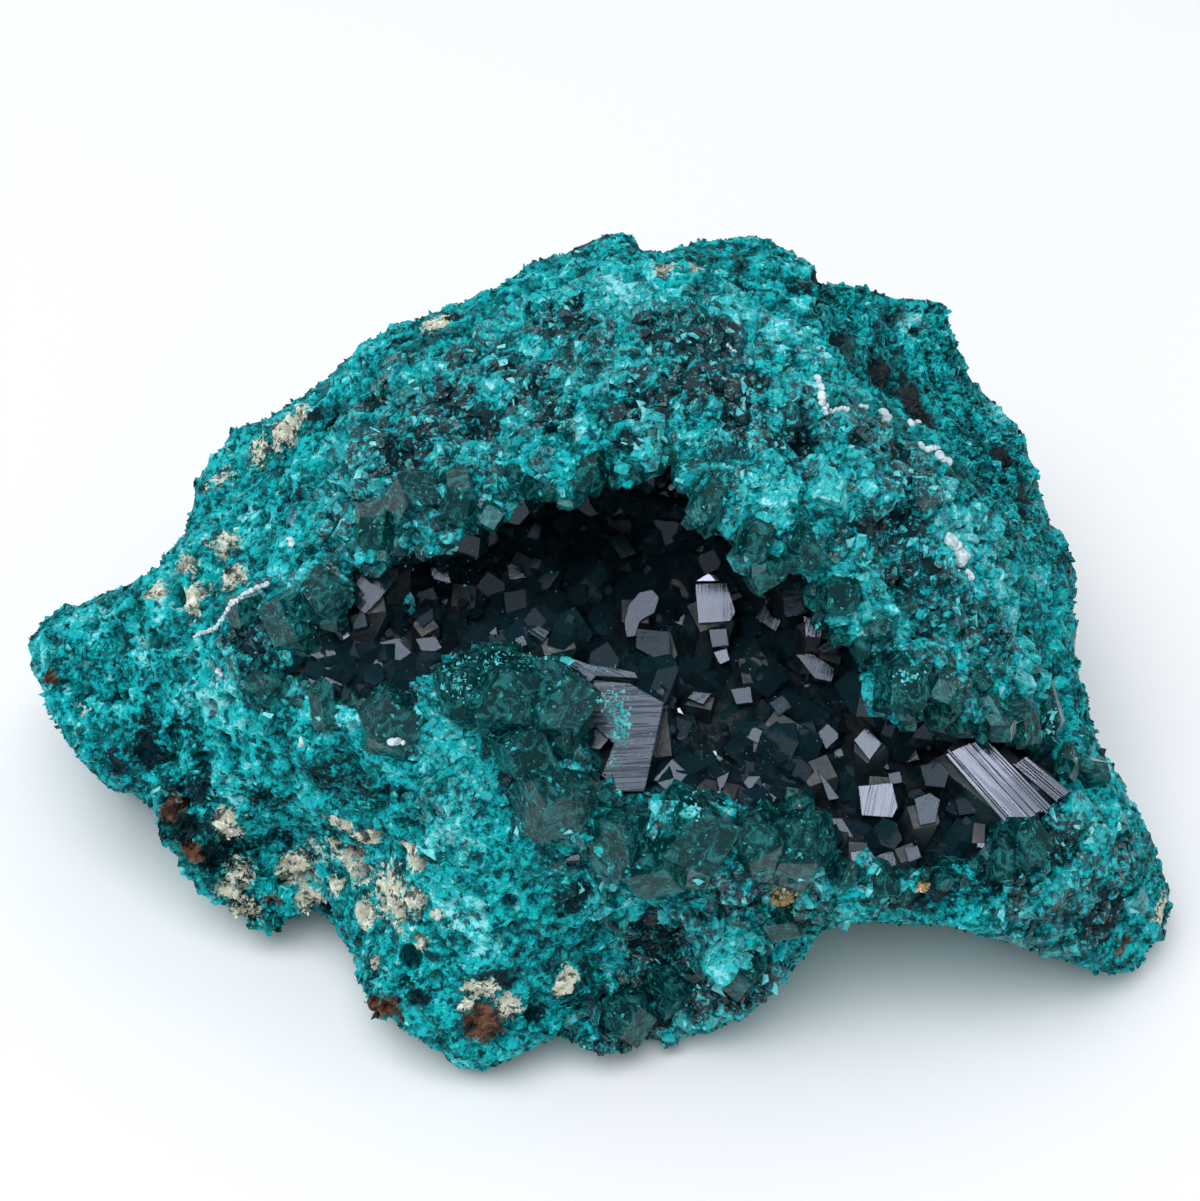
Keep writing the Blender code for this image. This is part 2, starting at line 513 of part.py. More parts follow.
def crust_crystals(wall):
    """All crystals of the hollow: the placed ones, then small ones between them.

    wall is the room that the crust leaves, whose faces look out into the crust.
    """
    rng = random.Random(11)
    floor = Relief(FLOOR)
    crystals = []
    spots = []
    for kind, across, up, lift, turn, width, length in BRIGHT_CRYSTALS:
        place = bright_place(kind, across, up, lift, turn, width, length, floor)
        root = 0.5 if kind == PRISM else 0.62
        long = length * (1.0 if kind == PRISM else 1.5)
        crystals.append(crystal(crystal_corners(width, long, rng, root), place))
        spots.append(place.translation.copy())
    face = face_sheet()
    spread = []
    for part in wall.faces:
        across, up, out = to_view(np.array([part.calc_center_median()]))
        if out[0] < face(across, up)[0] - CRUST_EDGE:
            spread.append(part)
    areas = np.cumsum([f.calc_area() for f in spread])
    tries = 0
    made = 0
    while made < SMALL_CRYSTALS and tries < SMALL_TRIES:
        tries += 1
        part = spread[int(np.searchsorted(areas, rng.random() * areas[-1]))]
        a, b, c = (v.co for v in part.verts)
        s, t = sorted((rng.random(), rng.random()))
        at = a * s + b * (t - s) + c * (1 - t)
        normal = -part.normal
        if normal.dot(Vector(TOWARD)) < -0.35 or any((at - spot).length < SMALL_SPACING for spot in spots):
            continue
        tilt = Vector([rng.gauss(0, SMALL_TILT) for _ in range(3)])
        axis = (normal + tilt + Vector(TOWARD) * 0.25).normalized()
        width = rng.uniform(*SMALL_WIDTH)
        length = width * rng.uniform(*SMALL_LENGTH)
        spin = frame_of(axis, any_way(rng))
        place = Matrix.Translation(at) @ spin.to_4x4()
        crystals.append(crystal(crystal_corners(width, length, rng), place))
        spots.append(at)
        made += 1
    return crystals


def rim_crystals(grow=0.0):
    """The broken crystals that stand on the rock's face and round the mouth."""
    rng = random.Random(4)
    face = face_sheet()
    crystals = []
    for across, up, lift, way, width, length in RIM_CRYSTALS:
        out = float(face(np.array([across]), np.array([up]))[0]) + lift - RIM_SUNK
        at = Vector(from_view(across, up, out))
        spin = frame_of(view_way(*way), any_way(rng))
        corners = crystal_corners(width, length, rng)
        if grow:
            corners = [c + c.normalized() * grow * 1.3 for c in corners]
        crystals.append(crystal(corners, Matrix.Translation(at) @ spin.to_4x4()))
    return crystals


def combine(target, shapes, how, solver="EXACT"):
    """Booleans of the target with each of the built meshes, one after another."""
    for shape in shapes:
        other = add_mesh("other", shape)
        step = target.modifiers.new(how, "BOOLEAN")
        step.operation = how
        step.object = other
        step.solver = solver
        settle(target)
        bpy.data.objects.remove(other)


def keep_whole(made):
    """Leaves only the object's largest shell: no chip cut loose and no room shut in."""
    bm = bmesh.new()
    bm.from_mesh(made.data)
    left = set(bm.faces)
    shells = []
    while left:
        shell, edge = set(), [left.pop()]
        while edge:
            face = edge.pop()
            shell.add(face)
            near = {other for side in face.edges for other in side.link_faces} & left
            left -= near
            edge.extend(near)
        shells.append(shell)
    largest = max(shells, key=len)
    spare = [face for shell in shells if shell is not largest for face in shell]
    bmesh.ops.delete(bm, geom=spare, context="FACES")
    bm.to_mesh(made.data)
    bm.free()


def stand_middle(rock):
    """The move that brings the middle of the rock's footprint over the origin, its base to 0."""
    corners = np.array([vert.co for vert in rock.data.vertices])
    low, high = corners.min(axis=0), corners.max(axis=0)
    return Matrix.Translation(Vector((-(low[0] + high[0]) / 2, -(low[1] + high[1]) / 2, -low[2])))


def finish(made, move, shade):
    """Moves the object's mesh, takes it from millimetres to metres and gives it its material."""
    made.data.transform(Matrix.Scale(MM, 4) @ move)
    made.data.name = made.name
    made.data.materials.clear()
    made.data.materials.append(shade)


def material(name, colour, rough):
    made = bpy.data.materials.new(name)
    made.use_nodes = True
    shader = made.node_tree.nodes["Principled BSDF"]
    shader.inputs["Base Color"].default_value = (*colour, 1.0)
    shader.inputs["Roughness"].default_value = rough
    return made


def ground_box():
    """All that lies under the surface that the rock rests on."""
    bm = bmesh.new()
    bmesh.ops.create_cube(bm, size=1.0)
    bmesh.ops.scale(bm, vec=GROUND, verts=bm.verts)
    bmesh.ops.translate(bm, vec=(0, 0, -GROUND[2] / 2), verts=bm.verts)
    return bm


def main():
    for old in list(bpy.data.objects):
        bpy.data.objects.remove(old)
    rock = rock_body()
    combine(rock, [hollow_solid(0.0)], "DIFFERENCE")
    combine(rock, rim_crystals(), "UNION")
    combine(rock, [ground_box()], "DIFFERENCE")
    keep_whole(rock)
    middle = stand_middle(rock)
    finish(rock, middle, material("matrix", ROCK_COLOUR, 0.85))

    room = hollow_solid(GAP, CRUST_THICK, CRUST_BUMPS)
    crystals = crust_crystals(room)
    crust = add_mesh("vug_crystals", hollow_solid(-CRUST_OVERLAP))
    for shapes, how in (
        ([room], "DIFFERENCE"),
        (crystals, "UNION"),
        ([hollow_solid(GAP)], "INTERSECT"),
        (rim_crystals(GAP) + end_balls(), "DIFFERENCE"),
    ):
        combine(crust, shapes, how, solver="MANIFOLD")
    keep_whole(crust)
    finish(crust, middle, material("dark_dioptase", CRYSTAL_COLOUR, 0.12))


main()
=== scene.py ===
"""Looks of the dioptase: turquoise druse on rock, and its open hollow of dark crystals.

Places on the front are given as the front view shows them, in millimetres: across, up, and out
towards the viewer. Meshes are built in millimetres and brought to metres when they are linked.
"""

import json
import math
import random

import bmesh
import bpy
import numpy as np
from mathutils import Matrix, Vector
from mathutils.bvhtree import BVHTree

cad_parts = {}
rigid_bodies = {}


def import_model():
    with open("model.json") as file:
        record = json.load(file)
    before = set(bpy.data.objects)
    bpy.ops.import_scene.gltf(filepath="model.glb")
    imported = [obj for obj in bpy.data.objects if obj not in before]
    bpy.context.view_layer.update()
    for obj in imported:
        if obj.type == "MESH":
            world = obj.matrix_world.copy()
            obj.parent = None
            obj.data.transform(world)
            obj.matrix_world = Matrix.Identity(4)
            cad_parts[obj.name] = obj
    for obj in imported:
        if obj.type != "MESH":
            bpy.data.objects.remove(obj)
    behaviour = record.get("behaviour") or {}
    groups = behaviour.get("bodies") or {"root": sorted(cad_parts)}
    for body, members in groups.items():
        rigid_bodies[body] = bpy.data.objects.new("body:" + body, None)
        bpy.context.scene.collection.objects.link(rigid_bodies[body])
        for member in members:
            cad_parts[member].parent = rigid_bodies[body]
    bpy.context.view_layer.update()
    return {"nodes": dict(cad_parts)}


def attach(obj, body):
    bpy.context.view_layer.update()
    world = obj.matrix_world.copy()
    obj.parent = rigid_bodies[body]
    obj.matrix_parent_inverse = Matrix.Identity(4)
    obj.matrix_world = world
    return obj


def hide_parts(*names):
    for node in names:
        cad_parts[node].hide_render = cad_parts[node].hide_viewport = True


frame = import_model()
MM = 0.001
PER_MM = 1000.0

# The front view.
VIEW_TILT = math.radians(45)
VIEW_DISTANCE = 292.0
VIEW_WIDTH = 105.17
AIM = np.array([0.3192, -7.3931, 33.0])
RISE = 4.33
RIGHT = np.array([1.0, 0.0, 0.0])
UP = np.array([0.0, math.sin(VIEW_TILT), math.cos(VIEW_TILT)])
TOWARD = np.array([0.0, -math.cos(VIEW_TILT), math.sin(VIEW_TILT)])
EYE = AIM + TOWARD * VIEW_DISTANCE
FAR_BEHIND = -1e3
VERY_FAR = 1e9

# Across, up and out: what mirrors the middle of the light to the viewer, and how the bright
# crystals of the hollow look. They look lower, step by step, where the roof is in the light's way.
SKYWARD = Vector((-0.09, 0.22, 0.97)).normalized()
FACEWARD = Vector((-0.06, 0.13, 0.99)).normalized()
LOWER_WAYS = (0.13, 0.11, 0.09, 0.075, 0.06)
STRAIGHT_OUT = Vector((0, 0, 1))


def to_view(points):
    """Across, up and out of each point, as the front view shows it."""
    rel = points - AIM
    out = rel @ TOWARD
    scale = VIEW_DISTANCE / (VIEW_DISTANCE - out)
    return (rel @ RIGHT) * scale, (rel @ UP) * scale + RISE, out


def from_view(across, up, out):
    """The point that the front view shows there, that far out."""
    scale = (VIEW_DISTANCE - out) / VIEW_DISTANCE
    return AIM + across * scale * RIGHT + (up - RISE) * scale * UP + out * TOWARD


def view_way(across, up, out):
    """That way of the front view, in the shared frame."""
    return Vector(across * RIGHT + up * UP + out * TOWARD).normalized()


def sight(across, up):
    """The way from the eye to that place of the front view."""
    return Vector(from_view(across, up, 0.0) - EYE).normalized()


class Ground:
    """CAD solids as one surface that the line of sight can meet."""

    def __init__(self, nodes):
        corners = []
        faces = []
        for node in nodes:
            mesh = frame["nodes"][node].data
            start = len(corners)
            corners += [tuple(PER_MM * c for c in vert.co) for vert in mesh.vertices]
            faces += [tuple(start + k for k in face.vertices) for face in mesh.polygons]
        self.tree = BVHTree.FromPolygons(corners, faces)

    def met(self, across, up):
        """Where the line of sight meets the surface, or None."""
        return self.tree.ray_cast(Vector(EYE), sight(across, up))[0]

    def out_at(self, across, up):
        """How far out the surface is there."""
        place = self.met(across, up)
        return FAR_BEHIND if place is None else float((np.array(place) - AIM) @ TOWARD)


HOLLOW = Ground(["vug_crystals"])
WHOLE = Ground(["matrix", "vug_crystals"])


# What zones of the rock's face hold: across, up, reach, strength.
PATCHES = {
    "glassy": [
        (-14, 20, 11, 1.0), (-4, 26, 9, 1.0), (8, 25, 10, 1.0), (-13, 12, 9, 1.0), (14, 16, 10, 1.0),
        (-20, 16, 9, 0.8), (25, 11, 9, 0.9), (32, 4, 9, 0.8), (30, -2, 7, 0.9), (37, -4, 6, 0.8),
        (-9, -4, 8, 1.0), (-14, -14, 4, 0.6), (-16, -5, 6, 0.8), (4, -17, 8, 1.0), (14, -19, 8, 1.0),
        (22, -21, 5, 0.8), (-24, 3, 6, 0.9), (-29, 1, 6, 0.8), (8, -28, 8, 0.8), (38, -14, 6, 0.6),
        (42, -21, 8, 0.7), (-5, -11, 5, 1.0), (23, 18, 6, 0.8), (4, -33, 6, 0.7),
    ],
    # Dark: charcoal patches of glassy druse; the rows on dents and holes, and the broad ones over the wing,
    # are also painted shade.
    "dark": [
        (-13, 22.5, 2.0, 1.2), (-14.5, 20, 2.6, 0.9), (-10.5, 19.4, 2.2, 0.9), (-20, 21.5, 2.6, 0.7),
        (-18.5, 17.6, 2.8, 0.7), (-12, 26, 1.8, 0.7), (-4, 22.5, 2.4, 0.8), (-2.5, 29.5, 1.9, 0.8),
        (3.8, 29.5, 1.5, 0.9), (4.5, 27.4, 1.9, 0.7), (0, 24, 1.5, 0.6), (3.4, 20.9, 1.9, 1.1),
        (2.2, 18.6, 1.3, 1.0), (5.5, 21.8, 1.6, 0.9), (-4.5, 20.4, 1.6, 1.0), (-7, 22, 1.3, 0.9),
        (8.5, 23.5, 2.6, 0.9), (12.5, 23, 2.6, 0.9), (11, 27.6, 1.7, 0.7), (12, 20, 2.4, 0.7),
        (-16, 13.5, 3.0, 0.6), (-20, 11, 2.2, 0.6), (-23.5, 20.8, 0.9, 1.2), (-25, 20.6, 1.0, 1.0),
        (-18, 27, 1.4, 0.9), (-12.8, 29.3, 1.3, 0.9), (12.5, 10.8, 1.4, 1.1), (15.5, 18.3, 1.3, 0.9),
        (17.6, 18.2, 1.7, 1.4), (26.3, 15.8, 1.5, 1.1), (27, 11.3, 2.2, 1.0), (26.5, 6.2, 1.7, 1.0),
        (23.6, 10.2, 2.2, 0.8), (29.2, 7.2, 1.3, 0.8), (25, 18.5, 3.0, 0.6), (29.3, 23.2, 2.6, 0.9),
        (23, 27.5, 2.2, 0.8), (26.5, 25.3, 1.8, 0.8), (31.8, 18.3, 1.8, 1.0), (36.5, 18, 2.0, 1.1),
        (38, 13.8, 1.1, 1.1), (35.5, 12, 1.8, 0.8), (26, 31, 2.4, 0.6), (25, 0, 2.4, 0.5),
        (29, 24.5, 3.4, 0.6), (34, 16, 3.4, 0.6), (17.6, 32, 1.6, 0.6), (12, 32, 1.4, 0.6),
        (-8, 32.2, 1.3, 0.7), (-1, 35, 1.2, 0.7), (-40, -9, 2.6, 0.75), (-42.6, -10, 2.0, 0.7),
        (-37, -7, 1.8, 0.65), (-40, -6.4, 1.6, 0.6), (-30, -13, 3.2, 0.55), (-23, -12, 3.6, 0.5),
        (-20, -13, 3.0, 0.55), (-33, -18, 3.2, 0.75), (-37, -15.5, 2.6, 0.85), (-28, -17, 2.6, 0.6),
        (-17, -15, 2.0, 0.5), (-24, -23, 1.2, 0.9), (-22.4, -25, 1.2, 0.9), (-35.5, -12.5, 2.6, 0.7),
        (-31, -23, 2.2, 0.7), (-20, -29, 2.4, 0.5), (-31, 1, 3.0, 0.8), (-26, 3, 3.4, 0.8),
        (-29, -2, 2.2, 0.8), (-18, -5.2, 2.6, 0.9), (-6, -12.5, 3.0, 1.0), (-2.5, -22, 2.6, 0.7),
        (5, -26, 3.4, 1.3), (3, -32, 4.0, 1.0), (8, -30, 3.6, 0.9), (12, -22, 3.0, 0.8),
        (16.5, -24, 2.6, 0.9), (13, -30, 3.4, 0.9), (8, -21, 2.0, 0.8), (27, -22.5, 3.0, 0.7),
        (36, -20, 5.0, 0.6), (-5.5, -32, 1.6, 0.6), (6.4, -29, 1.6, 1.2), (44, -23, 4.0, 0.7),
        (40, -16, 3.4, 0.7), (46, -18, 3.0, 0.5), (30, -21, 3.6, 0.6), (-16, -30, 2.0, 0.5),
    ],
    "cream": [
        (-39, 5.2, 1.5, 0.9), (-35.6, 4.8, 1.8, 0.9), (-32.2, 6.2, 1.8, 0.9), (-36, 3.2, 1.1, 0.8),
        (-27.6, 19.4, 2.2, 1.0), (-26.5, 20.8, 1.6, 0.9), (-30, 17.4, 2.0, 0.8), (-33.4, 15.0, 2.0, 0.6),
        (-36.4, 7.6, 1.8, 0.7), (-33, 9.4, 1.8, 0.7), (-14.6, 28.6, 1.8, 0.8), (5.7, 33.6, 1.4, 0.9),
        (8.4, 33.8, 0.9, 0.7), (5.2, 29.9, 0.7, 1.1), (-22.8, -15.3, 1.4, 1.3), (-20.3, -16.2, 1.1, 1.2),
        (-23.2, -17.2, 1.2, 0.9), (-16.3, -18, 1.5, 1.2), (-26.5, -19.2, 1.8, 1.4),
        (-25.6, -21.6, 1.3, 1.4), (-20.5, -23, 1.6, 1.1), (-18.5, -21.8, 3.4, 0.85),
        (-16.4, -21.8, 1.2, 1.0), (-21.5, -18.6, 2.4, 0.7), (-24.5, -17.6, 1.6, 0.7),
        (-20.2, -27.5, 0.9, 1.0), (-33, -15, 1.4, 1.1), (-32.4, -16.2, 1.2, 1.0), (-31.5, -19.5, 1.4, 0.9),
        (-32.3, -21, 1.6, 0.9), (-31, -23, 1.8, 0.8), (-23, -20.4, 1.2, 1.0), (-16.2, -25.8, 1.0, 1.0),
        (-10.5, -29.8, 1.6, 0.9), (-8, -31.3, 1.4, 1.0), (-11.6, -31, 1.0, 0.9), (-2.9, -28.8, 1.1, 1.4),
        (-3.4, -29.6, 0.9, 1.3), (-14.2, -23.2, 0.7, 1.1), (49.1, -22.6, 1.6, 1.0), (-45.4, -5.4, 0.9, 0.8),
        (28.2, -20.9, 0.7, 1.1), (-17.0, -17.2, 1.0, 1.0),
    ],
    "brown": [
        (-37.7, -13.8, 1.4, 1.2), (-36.0, -17.5, 1.1, 1.1), (-35.0, -20.0, 1.0, 1.0),
        (-48.3, -2.3, 0.9, 1.1), (-18.7, -31.3, 1.9, 1.2), (-10.3, -32.6, 2.0, 1.1),
        (-28.7, -22.0, 1.0, 0.9), (46.0, -26.0, 1.4, 0.7),
    ],
    "gold": [
        (16.2, -21.6, 1.2, 1.4), (28.2, -20.8, 0.7, 0.9),
    ],
    "umber": [
        (29.3, 23.2, 2.4, 1.0), (36.5, 18.0, 2.0, 1.0), (31.8, 18.3, 1.7, 0.9), (24.2, 27.4, 2.2, 0.8),
        (26.6, 25.2, 1.6, 0.9), (38.0, 13.8, 1.2, 0.9), (35.4, 12.0, 1.6, 0.7), (26.4, 30.6, 2.0, 0.7),
        (34, 20.5, 1.4, 0.7), (-16.0, -31.0, 1.4, 0.8), (-37.0, -18.0, 1.6, 0.8),
    ],
    "vivid": [
        (18.0, 30.6, 1.4, 1.0), (18.6, 28.0, 1.4, 1.0), (19.8, 25.6, 1.4, 1.0), (21.6, 23.4, 1.3, 1.0),
        (23.6, 21.8, 1.2, 1.0), (17.0, 33.6, 1.4, 0.9), (-9, 22.6, 1.8, 1.0), (-11, 17.5, 1.6, 1.2),
        (-8, 19.5, 1.5, 1.0), (-16, 23.6, 2.2, 0.8), (2, 24.6, 1.3, 1.0), (1, 28, 1.6, 1.0),
        (-2, 19.6, 2.0, 1.0), (5, 18, 2.0, 1.2), (9, 18.6, 2.0, 0.9), (7, 21.2, 1.3, 1.0),
        (12, 28.8, 1.6, 1.0), (17, 28, 3.0, 0.9), (-10, 25.2, 1.0, 1.0), (-20, 17.2, 1.0, 1.0),
        (-14.3, 17.4, 1.0, 1.1), (-19, 13, 1.4, 1.0), (-6, 26, 1.4, 0.9), (10.6, 14.2, 1.4, 0.9),
        (15, 13, 3.0, 1.0), (20, 14.4, 2.0, 1.0), (21.6, 12, 1.5, 0.9), (23, 7.6, 2.4, 1.0),
        (19, 10.2, 1.3, 0.9), (28, 9, 1.5, 0.9), (16, 22, 1.4, 0.8), (22, 23, 1.8, 1.0), (34, 7, 2.2, 1.0),
        (38, 6.4, 1.8, 0.9), (31, 13, 3.0, 0.6), (2, 32, 6.0, 0.9), (12, 31, 4.0, 0.6),
        (-5, 31.6, 3.0, 0.7), (22, 3.6, 1.4, 0.8), (38, 11, 2.4, 0.8), (28, 29, 2.4, 0.6),
        (36, 21, 2.4, 0.6), (-16.6, 3.9, 1.0, 1.3), (-21, -6, 3.4, 1.0), (-13, -8, 3.4, 1.2),
        (-10, -12, 2.4, 1.0), (-12, -17, 4.0, 0.8), (-13, -22, 4.0, 1.0), (-11, -26, 3.6, 0.8),
        (-25, -7, 3.0, 0.7), (-32, -12, 3.4, 0.8), (-35, -3, 5.0, 0.7), (-40, 0, 4.0, 0.5),
        (-7, -15.6, 1.6, 1.0), (10.6, -27, 1.5, 1.0), (8, -14.2, 1.2, 1.0), (-45, 2, 4.0, 0.5),
        (-26, -4.4, 2.0, 0.9), (30, 9.4, 5.0, 0.6), (26, 3, 4.0, 0.5), (36, 2, 4.0, 0.6),
        (-3, 15, 3.0, 0.5), (-5.2, -8, 1.0, 0.8), (-30, 10, 5.0, 0.6), (-22, 24.6, 3.0, 0.5),
        (3.0, -19.6, 1.6, 0.8),
    ],
    "crumbly": [
        (-37, -14, 5, 1.0), (-33, -20, 5, 1.0), (-28, -23, 4, 1.0), (-20, -30, 4, 0.6), (24, 31, 4, 0.8),
        (31, 27, 4, 0.8), (36, 19, 4, 0.7), (-30, 20, 6, 0.8), (-22, 27, 5, 0.7), (-36, 12, 5, 0.6),
        (-46, -4, 4, 0.4), (0, -33, 4, 0.5),
    ],
}

# Dents of the skin: across, up, reach, depth.
DENTS = [
    (17.6, 18.2, 1.6, 3.0), (-13.0, 22.4, 1.5, 2.2), (-10.6, 19.2, 1.2, 1.4), (26.3, 15.8, 1.3, 1.8),
    (27.0, 11.2, 1.8, 1.8), (26.4, 6.2, 1.5, 1.6), (5.0, -25.6, 2.8, 2.4), (3.2, 20.9, 1.3, 1.2),
    (-23.5, 20.8, 0.9, 1.4), (-40.0, -9.0, 1.8, 1.6), (-37.0, -7.2, 1.2, 1.2), (-33.0, -18.0, 1.6, 1.6),
    (-24.0, -22.6, 1.4, 2.0), (-30.0, -13.0, 1.6, 1.3), (-22.8, -12.4, 1.8, 1.2), (8.5, 23.4, 1.6, 1.0),
    (29.3, 23.2, 1.8, 1.2), (36.5, 18.0, 1.4, 1.0), (-19.0, -5.8, 1.6, 0.8), (-5.8, -12.2, 1.6, 0.8),
    (0.6, -31.0, 0.9, 1.6), (12.6, 10.6, 1.0, 1.0), (-28.2, -17.4, 1.4, 1.2), (-16.8, -27.0, 1.2, 1.2),
]
# Bumps of the skin: across, up, reach, height.
BUMPS = [
    (23.2, 31.8, 0.9, 2.4), (29.4, 29.6, 1.2, 1.4), (31.0, 27.0, 1.4, 0.9), (33.6, 23.6, 1.2, 0.9),
    (27.6, 30.4, 0.9, 0.9), (37.4, 18.8, 1.2, 0.9), (-37.4, -11.6, 0.9, 1.2), (-37.4, -15.8, 1.2, 1.4),
    (-34.6, -19.6, 1.0, 1.4), (-31.6, -22.8, 1.0, 1.2), (-27.8, -24.2, 1.1, 1.0), (-36.0, 24.0, 1.0, 0.8),
    (-24.6, 27.2, 1.0, 0.9), (-28.8, 22.4, 1.0, 0.9), (-20.0, 29.2, 1.0, 0.8), (-8.6, 39.4, 0.9, 1.2),
    (-13.4, 35.8, 1.0, 0.9),
]
# The ridge in front of the wing, and the step down behind it: its depth and how far it reaches.
RIDGE = [
    (17.6, 36.6), (18.8, 33.0), (19.2, 30.4), (19.8, 28.2), (21.4, 25.6), (23.6, 23.2), (25.6, 21.4),
    (28.6, 20.0), (31.2, 16.8),
]
STEP_DEPTH = 3.4
STEP_REACH = 7.0

# Rows of small white beads: the beads' radius, then where the row runs.
BEAD_ROWS = [
    (0.34, [(19.1, 23.8), (19.3, 22.4), (19.8, 20.9), (21.6, 21.0)]), (0.34, [(22.9, 21.3), (23.3, 21.4)]),
    (0.52, [(24.9, 20.6), (25.1, 20.3)]), (0.50, [(27.4, 20.0), (27.8, 19.8)]),
    (0.38, [(27.9, 18.0), (28.6, 17.5), (29.5, 17.6)]), (0.40, [(29.8, 17.0), (30.4, 16.4)]),
    (0.98, [(30.5, 9.4), (30.9, 8.6), (31.9, 8.2)]), (0.48, [(32.4, 6.8), (32.6, 6.3)]),
    (0.25, [(-35.6, 1.2), (-33.6, 1.9), (-32.3, 4.0), (-30.9, 5.0), (-29.2, 5.8)]),
    (0.56, [(-26.2, -7.8), (-26.0, -8.1)]), (0.44, [(-18.1, -8.0), (-17.4, -8.0)]),
    (0.34, [(-33.6, -1.7), (-33.2, -2.1)]), (0.36, [(-27.3, 9.7), (-26.8, 9.2)]),
    (0.30, [(6.2, 14.2), (6.5, 14.4)]), (0.2, [(11.2, 26.6), (11.8, 26.1)]),
    (0.3, [(-14.1, -23.1), (-14.2, -23.5)]),
]

# Specks strewn on the pieces: the piece's name, slot and finish, then where they lie: across, up,
# reach across and up, how many, smallest and largest.
DUST = [
    ("blade_dust", "dioptase", "turquoise", [
        (0.6, -4.4, 1.0, 1.0, 60, 0.15, 0.55), (1.6, -6.0, 1.0, 1.6, 80, 0.15, 0.6),
        (2.0, -7.6, 0.8, 1.4, 50, 0.15, 0.5), (1.2, -9.6, 0.8, 1.2, 30, 0.12, 0.4),
        (3.6, -9.0, 0.8, 2.0, 16, 0.1, 0.3), (2.4, -3.8, 1.6, 0.6, 24, 0.12, 0.4),
        (19.0, 2.0, 0.4, 0.4, 10, 0.3, 0.8), (27.0, -2.4, 1.2, 1.0, 30, 0.2, 0.8),
        (8.0, -14.2, 1.0, 0.7, 34, 0.3, 1.0), (34.0, -12.6, 3.0, 2.0, 20, 0.1, 0.25),
        (-16.8, 4.2, 0.7, 0.7, 9, 0.8, 1.7), (39.6, -6.0, 0.8, 2.0, 30, 0.2, 0.7),
        (-14.0, 7.0, 8.0, 3.0, 60, 0.1, 0.4), (-9.0, -0.6, 4.0, 1.0, 110, 0.1, 0.5),
        (9.0, -13.0, 5.0, 0.8, 20, 0.2, 0.5), (-12.4, -3.0, 2.0, 1.6, 70, 0.1, 0.6),
        (1.8, -6.6, 0.9, 1.6, 50, 0.3, 0.8), (-1.0, -1.6, 3.0, 0.4, 24, 0.1, 0.4),
    ]),
    ("gold_specks", "matrix", "gold", [
        (16.2, -21.4, 1.0, 0.8, 60, 0.15, 0.5), (28.2, -20.8, 0.6, 0.4, 14, 0.15, 0.4),
        (17.6, -14.2, 0.5, 1.4, 12, 0.1, 0.3), (-14.4, 1.4, 1.4, 0.5, 10, 0.1, 0.25),
    ]),
    ("vug_dust", "dioptase", "white", [
        (10.0, 0.0, 16.0, 12.0, 130, 0.07, 0.16), (-14.0, 2.0, 12.0, 6.0, 70, 0.07, 0.18),
        (26.0, -12.0, 12.0, 8.0, 60, 0.07, 0.15), (10.0, -9.0, 6.0, 2.0, 60, 0.06, 0.15),
        (6.0, 9.0, 12.0, 5.0, 30, 0.06, 0.14), (-17.6, 0.9, 0.5, 0.2, 4, 0.15, 0.3),
    ]),
]

# The hollow's mouth in the front view, clockwise from its left end.
MOUTH = [
    (-27.6, -1.6), (-22.8, 4.6), (-16.0, 8.4), (-10.0, 11.4), (-8.4, 13.4), (-0.8, 13.7), (4.6, 17.0),
    (9.0, 12.0), (15.6, 8.0), (21.0, 2.8), (24.8, -4.6), (33.0, -6.0), (39.8, -8.2), (41.2, -10.6),
    (36.0, -17.9), (26.4, -19.4), (17.6, -18.0), (10.0, -12.8), (0.6, -13.0), (-1.4, -10.6), (-2.8, -2.4),
    (-11.4, -1.0), (-18.4, -5.6), (-25.4, -3.8),
]

# The hollow's floor: across, up and out.
FLOOR = [
    (-26, -2, 5), (-20, 3, 2), (-19, -3, 4), (-12, 4, -2), (-8, 10, -9), (-7, 1, -2), (0, 9, -12),
    (0, 2, -6), (5, 14, -11), (9, 9, -10), (14, 6, -9), (3, -4, -1), (4, -10, 2), (12, -1, -6), (12, -9, 0),
    (19, 2, -5), (19, -7, -3), (20, -15, 2), (25, -9, -3), (27, -15, 1), (33, -10, -2), (33, -16, 1),
    (39, -11, -3),
]

